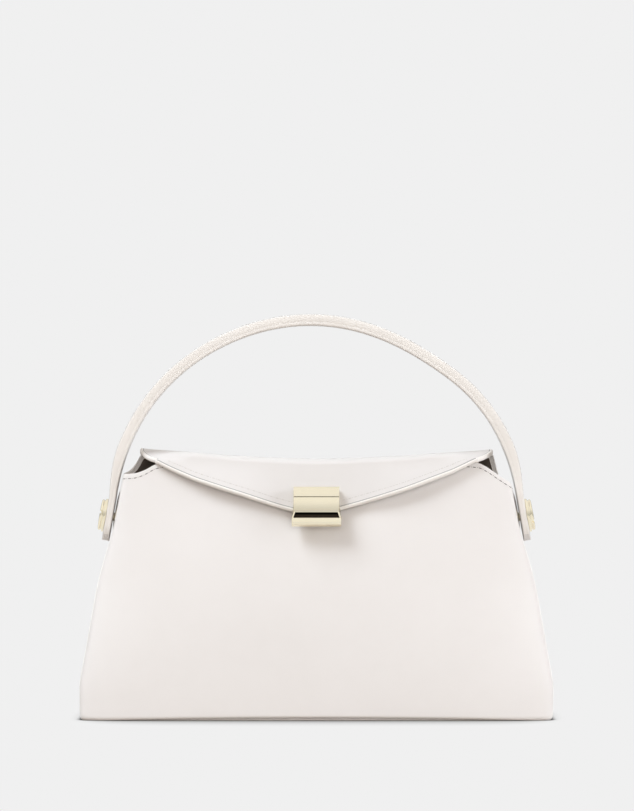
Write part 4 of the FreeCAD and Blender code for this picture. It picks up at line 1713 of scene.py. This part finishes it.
@dataclass
class TopHandle:
    """Arched strap of two stitched layers, padded on the arch and thin at its tabs, with two gold studs."""

    form: BagForm
    crown: float
    stitch: StitchRun = HANDLE_STITCH
    tab_gap: float = 2.0
    tab_tail: float = 14.0
    half_width: float = 9.0
    inner_layer: float = 1.9
    arch_thickness: float = 6.0
    tab_thickness: float = 3.5
    pad_low: float = 118.0
    pad_high: float = 148.0
    sag: float = 3.0
    sag_turn: float = 58.0
    sag_spread: Pair = (17.0, 26.0)
    rise: float = 0.8
    rise_turn: float = 138.0
    rise_spread: float = 22.0
    end_round: float = 8.5
    edge_round: float = 0.6
    joint_round: float = 0.06
    crowning: float = 0.35
    edge_facing: float = 0.8
    seam_inset: float = 2.6
    stud_radius: float = 9.2
    stud_rim: float = 1.7
    stud_groove: float = 0.5
    stud_groove_depth: float = 1.0
    stud_cap: float = 1.5
    stud_cap_radius: float = 8.6
    stud_dish: float = 0.5
    post_radius: float = 2.4
    post_length: float = 13.0
    slot_width: float = 1.4
    slot_depth: float = 1.1
    slot_turns: Pair = (-12.0, 25.0)
    stud_faces: int = 72
    stud_edge: float = 0.12
    stud_angle: float = 35.0
    arch_rows: int = 150
    tab_rows: int = 9
    end_rows: int = 14

    @property
    def pivot_height(self) -> float:
        """Height of the studs' axis."""
        return self.form.pivot_height

    @property
    def lean(self) -> float:
        """Lean of the gussets and tabs, as an angle."""
        return math.atan((self.form.base_half_width - self.form.rim_half_width) / self.form.form_height)

    @property
    def radius(self) -> float:
        """Radius of the arch's inner face.

        Returns:
            The radius in millimetres, at which the arch meets both tabs without a kink.
        """
        share = self.pivot_height / self.form.form_height
        straight = between(self.form.base_half_width, self.form.rim_half_width, share)
        slope = math.tan(self.lean)
        reach = straight + self.tab_gap - (self.crown - self.pivot_height) * slope
        return reach / (1 / math.cos(self.lean) - slope)

    def inner_line(self) -> tuple[np.ndarray, np.ndarray, np.ndarray]:
        """The strap's inner face in its middle plane, from the left tab's end to the right one's.

        Returns:
            Points as (x, z), outward directions as (x, z), and distances from the nearer end.
        """
        centre = self.crown - self.radius
        turns = np.linspace(math.pi - self.lean, self.lean, self.arch_rows)
        arch_way = np.stack([np.cos(turns), np.sin(turns)], axis=1)
        arch = arch_way * np.array([[self.radius + self.slump(turn)] for turn in turns]) + (0.0, centre)
        tail = (arch[-1, 1] - self.pivot_height + self.tab_tail) / math.cos(self.lean)
        down = np.array([math.sin(self.lean), -math.cos(self.lean)])
        near = np.sin(np.linspace(0.0, math.pi / 2, self.end_rows))
        near = tail - self.end_round + self.end_round * near
        steps = np.concatenate([np.linspace(0.0, tail - self.end_round, self.tab_rows)[1:-1], near])
        tab = arch[-1] + steps[:, None] * down
        tab_way = np.repeat(arch_way[-1:], len(tab), axis=0)
        mirror = np.array([-1.0, 1.0])
        points = np.vstack([tab[::-1] * mirror, arch, tab])
        ways = np.vstack([tab_way * mirror, arch_way, tab_way])
        ends = np.concatenate([(tail - steps)[::-1], np.full(len(arch), tail), tail - steps])
        return points, ways, ends

    def slump(self, turn: float) -> float:
        """How far the soft arch stands off its circle: it sags on the right and is full on the left.

        Args:
            turn: Turn round the arch in radians, from the right.

        Returns:
            The distance, outwards.
        """
        angle = math.degrees(turn)
        spread = self.sag_spread[0] if angle < self.sag_turn else self.sag_spread[1]
        fall = self.sag * bell(angle - self.sag_turn, spread)
        return self.rise * bell(angle - self.rise_turn, self.rise_spread) - fall

    def outer_depth(self, height: float) -> float:
        """How far the outer face lies outside the inner face at a height."""
        padding = ease(self.pad_low, self.pad_high, height)
        return between(self.tab_thickness, self.arch_thickness, padding)

    def width_at(self, end: float) -> float:
        """Half the strap's width at a distance from its end, which is rounded."""
        cut = max(self.end_round - end, 0.0)
        return self.half_width - self.end_round + math.sqrt(max(self.end_round ** 2 - cut ** 2, 0.0))

    def build(self) -> None:
        """Make the strap's two layers, their seams and the studs."""
        self.layer("soft_handle_inner", lambda height: 0.0, lambda height: self.inner_layer, -1.0,
                   "handle_lining")
        self.layer("soft_handle_outer", lambda height: self.inner_layer, self.outer_depth, 1.0,
                   "handle_core", "handle_outer")
        for sign, label in ((-1, "front"), (1, "back")):
            self.seam(f"stitches_handle_{label}", sign)
        for sign, side, turn in zip((-1, 1), ("left", "right"), self.slot_turns):
            self.stud(sign, side, turn)

    def ring(self, half_width: float, low: float, high: float, facing: float) -> list[Pair]:
        """Cross-section of a layer, with soft edges and a slightly crowned face.

        Args:
            half_width: Half the strap's width here.
            low: Depth of the face towards the bag.
            high: Depth of the outer face.
            facing: 1 where the outer face is crowned, -1 where the inner one is.

        Returns:
            Points (across, depth) round the section.
        """
        points = []
        corners = ((half_width, high, 0.0), (-half_width, high, 90.0),
                   (-half_width, low, 180.0), (half_width, low, 270.0))
        for across, depth, start in corners:
            outside = (depth == high) == (facing > 0)
            soft = min(self.edge_round if outside else self.joint_round, half_width / 2)
            centre = (across - math.copysign(soft, across), depth - soft if depth == high else depth + soft)
            for step in range(4):
                angle = math.radians(start + 30.0 * step)
                points.append((centre[0] + soft * math.cos(angle), centre[1] + soft * math.sin(angle)))
            if start in (0.0, 180.0):
                swell = self.crowning * facing if (start == 0.0) == (facing > 0) else 0.0
                way = 1 if start == 0.0 else -1
                for share in (0.5, 0.0, -0.5):
                    points.append((way * half_width * share, depth + swell * (1 - share ** 2)))
        return points

    def layer(self, name: str, low: Callable[[float], float], high: Callable[[float], float], facing: float,
              *nodes: str) -> None:
        """Sweep one layer's section along the strap, with painted edges.

        Args:
            name: Name of the piece.
            low: Depth of the face towards the bag, at a height.
            high: Depth of the outer face, at a height.
            facing: 1 where the outer face is crowned, -1 where the inner one is.
            nodes: CAD nodes that it stands for.
        """
        sections = []
        for (x, z), (way_x, way_z), end in zip(*self.inner_line()):
            section = self.ring(self.width_at(end), low(z), high(z), facing)
            sections.append([(x + way_x * depth, across, z + way_z * depth) for across, depth in section])
        piece = lofted(name, sections)
        # The strap's faces take the darker strap calf, which is painted shade against the lamps; faces that
        # look along y are its cut edges, in edge paint
        dress(piece, STRAP.material(), EDGE.material())
        for face in piece.data.polygons:
            face.material_index = int(abs(face.normal.y) > self.edge_facing)
        smooth(piece, SHEET_ANGLE)
        hand_over(piece, Body.HANDLE, Slot.LEATHER, *nodes)

    def seam(self, name: str, sign: int) -> None:
        """Sew along one edge of the strap's outer face.

        Args:
            name: Name of the piece.
            sign: -1 at the front edge, 1 at the back edge.
        """
        line, normals = [], []
        for (x, z), (way_x, way_z), end in zip(*self.inner_line()):
            across = self.width_at(end) - self.seam_inset
            if across <= 0 or end < self.seam_inset:
                continue
            depth = self.outer_depth(z) + self.crowning * (1 - (across / self.half_width) ** 2)
            line.append((x + way_x * depth, sign * across, z + way_z * depth))
            normals.append((way_x, 0.0, way_z))
        hand_over(self.stitch.sew(name, np.array(line), np.array(normals)), Body.HANDLE, Slot.LEATHER)

    def stud(self, sign: int, side: str, turn: float) -> None:
        """Spin a two-tier stud with its post, cut its slot and seat it on the tab's outer face.

        Args:
            sign: -1 on the left, 1 on the right.
            side: Name of the side.
            turn: Angle of the slot in degrees, up towards the front.
        """
        radius, rim, cap = self.stud_radius, self.stud_rim, self.stud_cap_radius
        neck = rim + self.stud_groove
        height = neck + self.stud_cap
        dish = height - self.stud_dish
        waist, edge = radius - self.stud_groove_depth, self.stud_cap / 2
        profile = [(0.0, -self.post_length), (self.post_radius, -self.post_length), (self.post_radius, 0.0),
                   (radius - 0.3, 0.0), (radius, 0.3), (radius, rim - 0.3), (radius - 0.3, rim), (waist, rim),
                   (waist, neck), (cap - 0.2, neck), (cap, height - edge), (cap - 0.2, height - 0.25),
                   (cap - edge, height), (cap - 2 * edge, height - 0.1), (cap / 2, dish), (0.0, dish)]
        piece = spun(f"gold_{side}_stud", profile, self.stud_faces)
        clear_selection()
        slot_turn = (0.0, 0.0, math.radians(sign * turn))
        bpy.ops.mesh.primitive_cube_add(size=1.0, location=(0.0, 0.0, height * MM), rotation=slot_turn)
        cutter = bpy.context.object
        cutter.scale = (self.slot_width * MM, 3 * radius * MM, 2 * self.slot_depth * MM)
        cut_away(piece, cutter)
        points, ways, _ = self.inner_line()
        start = points[-1] + ways[-1] * self.tab_thickness
        seat = start[0] - (self.pivot_height - start[1]) * math.tan(self.lean)
        piece.rotation_euler = (0.0, sign * (math.pi / 2 - self.lean), 0.0)
        piece.location = (sign * seat * MM, 0.0, self.pivot_height * MM)
        make_active(piece)
        bpy.ops.object.transform_apply(location=True, rotation=True, scale=True)
        dress(piece, GOLD.material())
        soften(piece, self.stud_edge, self.stud_angle, 2)
        smooth(piece, self.stud_angle)
        hand_over(piece, Body.HANDLE, Slot.GOLD, f"{side}_stud")


# Fittings that keep their CAD shape


@dataclass(frozen=True)
class HiddenFittings:
    """Small fittings whose CAD shape is right and only needs its finish."""

    gold: tuple[str, ...] = ("catch_plate", "left_eyelet", "right_eyelet", "clasp_pin")
    steel: tuple[str, ...] = ("clasp_back_plate", "clasp_magnet", "clasp_screws", "catch_back_plate",
                              "catch_rivets", "left_stud_nut", "right_stud_nut")
    web: tuple[str, ...] = ("left_anchor_patch", "right_anchor_patch")
    board: tuple[str, ...] = ("base_board",)

    def dress(self, nodes: dict[str, Piece]) -> None:
        """Give every fitting its finish.

        Args:
            nodes: Objects of the CAD nodes by name.
        """
        finishes = ((self.gold, GOLD), (self.steel, STEEL), (self.web, WEB), (self.board, BOARD))
        for names, finish in finishes:
            for name in names:
                dress(nodes[name], finish.material())
                LOG.info("%s keeps its CAD shape in %s", name, finish.name)


# Studio


@dataclass(frozen=True)
class Softbox:
    """A square lamp aimed at the bag."""

    name: str
    location: Point
    size: float
    power: float
    tint: Colour = (1.0, 1.0, 1.0)


@dataclass
class Studio:
    """Pale floor, even backdrop, soft lamps and the camera at the photograph's angle."""

    camera_distance: float = 3.0
    camera_height: float = 0.172
    camera_side: float = 0.0003
    frame_height: float = 0.4496
    sensor: float = 36.0
    backdrop: float = 0.871
    ambient: Colour = (0.345, 0.300, 0.262)
    mirrored: Pair = (0.45, 0.93)
    mirrored_rise: float = 0.65
    view_depth: float = 20.0
    floor_size: float = 12.0
    bounce: Colour = (0.45, 0.40, 0.36)
    shadow_tone: Colour = (0.010, 0.006, 0.004)
    shadow_limit: float = 0.92
    shadow_reach: float = 0.060
    contact_reach: float = 0.004
    shadow_depth: float = 0.78
    shadow_fall: float = 1.6
    shadow_half: Pair = (0.132, 0.105)
    shadow_ends: Pair = (0.55, 1.15)
    aim: Point = (0.0, 0.0, 0.1)
    softboxes: tuple[Softbox, ...] = (
        Softbox("key", (-0.95, -0.50, 1.50), 0.9, 25.5, (0.925, 1.0, 1.07)),
        Softbox("fill", (0.2, -2.2, 0.35), 1.6, 16.5, (1.01, 0.99, 0.975)),
        Softbox("right_rim", (1.6, -0.3, 0.45), 1.0, 18.0, (0.94, 1.0, 1.07)),
        Softbox("back", (-0.2, 2.1, 0.35), 1.6, 34.0))

    @property
    def backdrop_colour(self) -> tuple[float, ...]:
        """Colour of the floor and the backdrop, with its alpha."""
        return self.backdrop, self.backdrop, self.backdrop, 1.0

    def build(self) -> None:
        """Set up the stage."""
        scene = bpy.context.scene
        scene.view_settings.view_transform = "Standard"
        self.camera(scene)
        self.world(scene)
        self.floor()
        self.lamps()

    def camera(self, scene: bpy.types.Scene) -> None:
        """Place the level camera in front of the bag.

        Args:
            scene: The scene.
        """
        data = bpy.data.cameras.new("camera")
        data.sensor_width = self.sensor
        data.lens = self.sensor * self.camera_distance / self.frame_height
        data.clip_end = self.view_depth
        camera = bpy.data.objects.new("camera", data)
        camera.location = (self.camera_side, -self.camera_distance, self.camera_height)
        camera.rotation_euler = (math.pi / 2, 0.0, 0.0)
        scene.collection.objects.link(camera)
        scene.camera = camera

    def world(self, scene: bpy.types.Scene) -> None:
        """Light the bag softly from all round and show the backdrop's own colour to the camera.

        Args:
            scene: The scene.
        """
        world = bpy.data.worlds.new("studio")
        world.use_nodes = True
        tree = world.node_tree
        tree.nodes.clear()
        path = add_node(tree, "LightPath", {}).outputs
        place = add_node(tree, "TexCoord", {}).outputs["Generated"]
        height = add_node(tree, "SeparateXYZ", {0: place}).outputs["Z"]
        low, high = self.mirrored
        rise = {"Value": height, "From Max": self.mirrored_rise, "To Min": low, "To Max": high}
        strength = add_node(tree, "MapRange", rise).outputs["Result"]
        around = add_node(tree, "Background", {"Color": (*self.ambient, 1.0)})
        mirrored = add_node(tree, "Background", {"Color": (1.0, 1.0, 1.0, 1.0), "Strength": strength})
        behind = add_node(tree, "Background", {"Color": self.backdrop_colour})
        seen = math_node(tree, "MAXIMUM", path["Is Camera Ray"], path["Is Transmission Ray"])
        shown = around.outputs[0]
        for share, light in ((path["Is Glossy Ray"], mirrored), (seen, behind)):
            shown = add_node(tree, "MixShader", {0: share, 1: shown, 2: light.outputs[0]}).outputs[0]
        add_node(tree, "OutputWorld", {0: shown})
        scene.world = world

    def floor(self) -> None:
        """Lay the pale floor: the backdrop's colour, darker only where the bag stands over it."""
        clear_selection()
        bpy.ops.mesh.primitive_plane_add(size=self.floor_size)
        floor = bpy.context.object
        floor.name = "studio_floor"
        material = bpy.data.materials.new("studio_floor")
        material.use_nodes = True
        tree = material.node_tree
        tree.nodes.clear()
        path = add_node(tree, "LightPath", {}).outputs
        matt = add_node(tree, "BsdfDiffuse", {"Color": (*self.bounce, 1.0)})
        shades = {"A": self.backdrop_colour, "B": (*self.shadow_tone, 1.0), "Factor": self.shade(tree)}
        tone = add_node(tree, "Mix", shades, data_type="RGBA")
        glow = add_node(tree, "Emission", {"Color": tone.outputs["Result"]})
        seen = math_node(tree, "MAXIMUM", path["Is Camera Ray"], path["Is Glossy Ray"])
        mix = add_node(tree, "MixShader", {0: seen, 1: matt.outputs[0], 2: glow.outputs[0]})
        add_node(tree, "OutputMaterial", {0: mix.outputs[0]})
        dress(floor, material)

    def shade(self, tree: Tree) -> Socket:
        """Shadow on the floor: wide in front of the bag, a narrow contact line all round it.

        Args:
            tree: Tree of the floor's material.

        Returns:
            How dark the floor is, from 0 to 1.
        """
        place = add_node(tree, "TexCoord", {}).outputs["Object"]
        parts = add_node(tree, "SeparateXYZ", {0: place}).outputs
        spans = []
        for axis, half in zip("XY", self.shadow_half):
            share = math_node(tree, "DIVIDE", math_node(tree, "ABSOLUTE", parts[axis]), half)
            spans.append(math_node(tree, "POWER", share, 4.0))
        near, far = self.shadow_ends
        away = math_node(tree, "ADD", *spans)
        fade = {"Value": away, "From Min": near, "From Max": far, "To Min": 1.0, "To Max": 0.0}
        mask = add_node(tree, "MapRange", fade, interpolation_type="SMOOTHSTEP")
        depths = []
        for reach in (self.shadow_reach, self.contact_reach):
            open_share = add_node(tree, "AmbientOcclusion", {"Distance": reach}, samples=16).outputs["AO"]
            closed = math_node(tree, "MULTIPLY_ADD", open_share, -2.0, 2.0)
            depths.append(math_node(tree, "POWER", closed, self.shadow_fall))
        wide = math_node(tree, "MULTIPLY", depths[0], mask.outputs["Result"])
        depth = math_node(tree, "MULTIPLY", math_node(tree, "MAXIMUM", wide, depths[1]), self.shadow_depth)
        return math_node(tree, "MINIMUM", depth, self.shadow_limit)

    def lamps(self) -> None:
        """Hang the softboxes."""
        for box in self.softboxes:
            data = bpy.data.lights.new(box.name, "AREA")
            data.size = box.size
            data.energy = box.power
            data.color = box.tint
            lamp = bpy.data.objects.new(box.name, data)
            lamp.location = box.location
            lamp.visible_glossy = False
            way = Vector(self.aim) - Vector(box.location)
            lamp.rotation_euler = way.to_track_quat("-Z", "Y").to_euler()
            bpy.context.scene.collection.objects.link(lamp)


def main() -> None:
    """Build the bag piece by piece over the CAD frame."""
    logging.basicConfig(level=logging.INFO, format="%(name)s: %(message)s")
    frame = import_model()
    front_low, front_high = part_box("front_panel")
    form = BagForm(front_high.x / MM, -front_low.y / MM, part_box("back_panel")[1].z / MM)
    LeatherBody(form).build()
    flap = SoftFlap(form)
    flap.build()
    Clasp(flap).build()
    TopHandle(form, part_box("handle_lining")[1].z / MM - HANDLE_STRIP).build()
    HiddenFittings().dress(frame["nodes"])
    Studio().build()


if __name__ == "__main__":
    main()
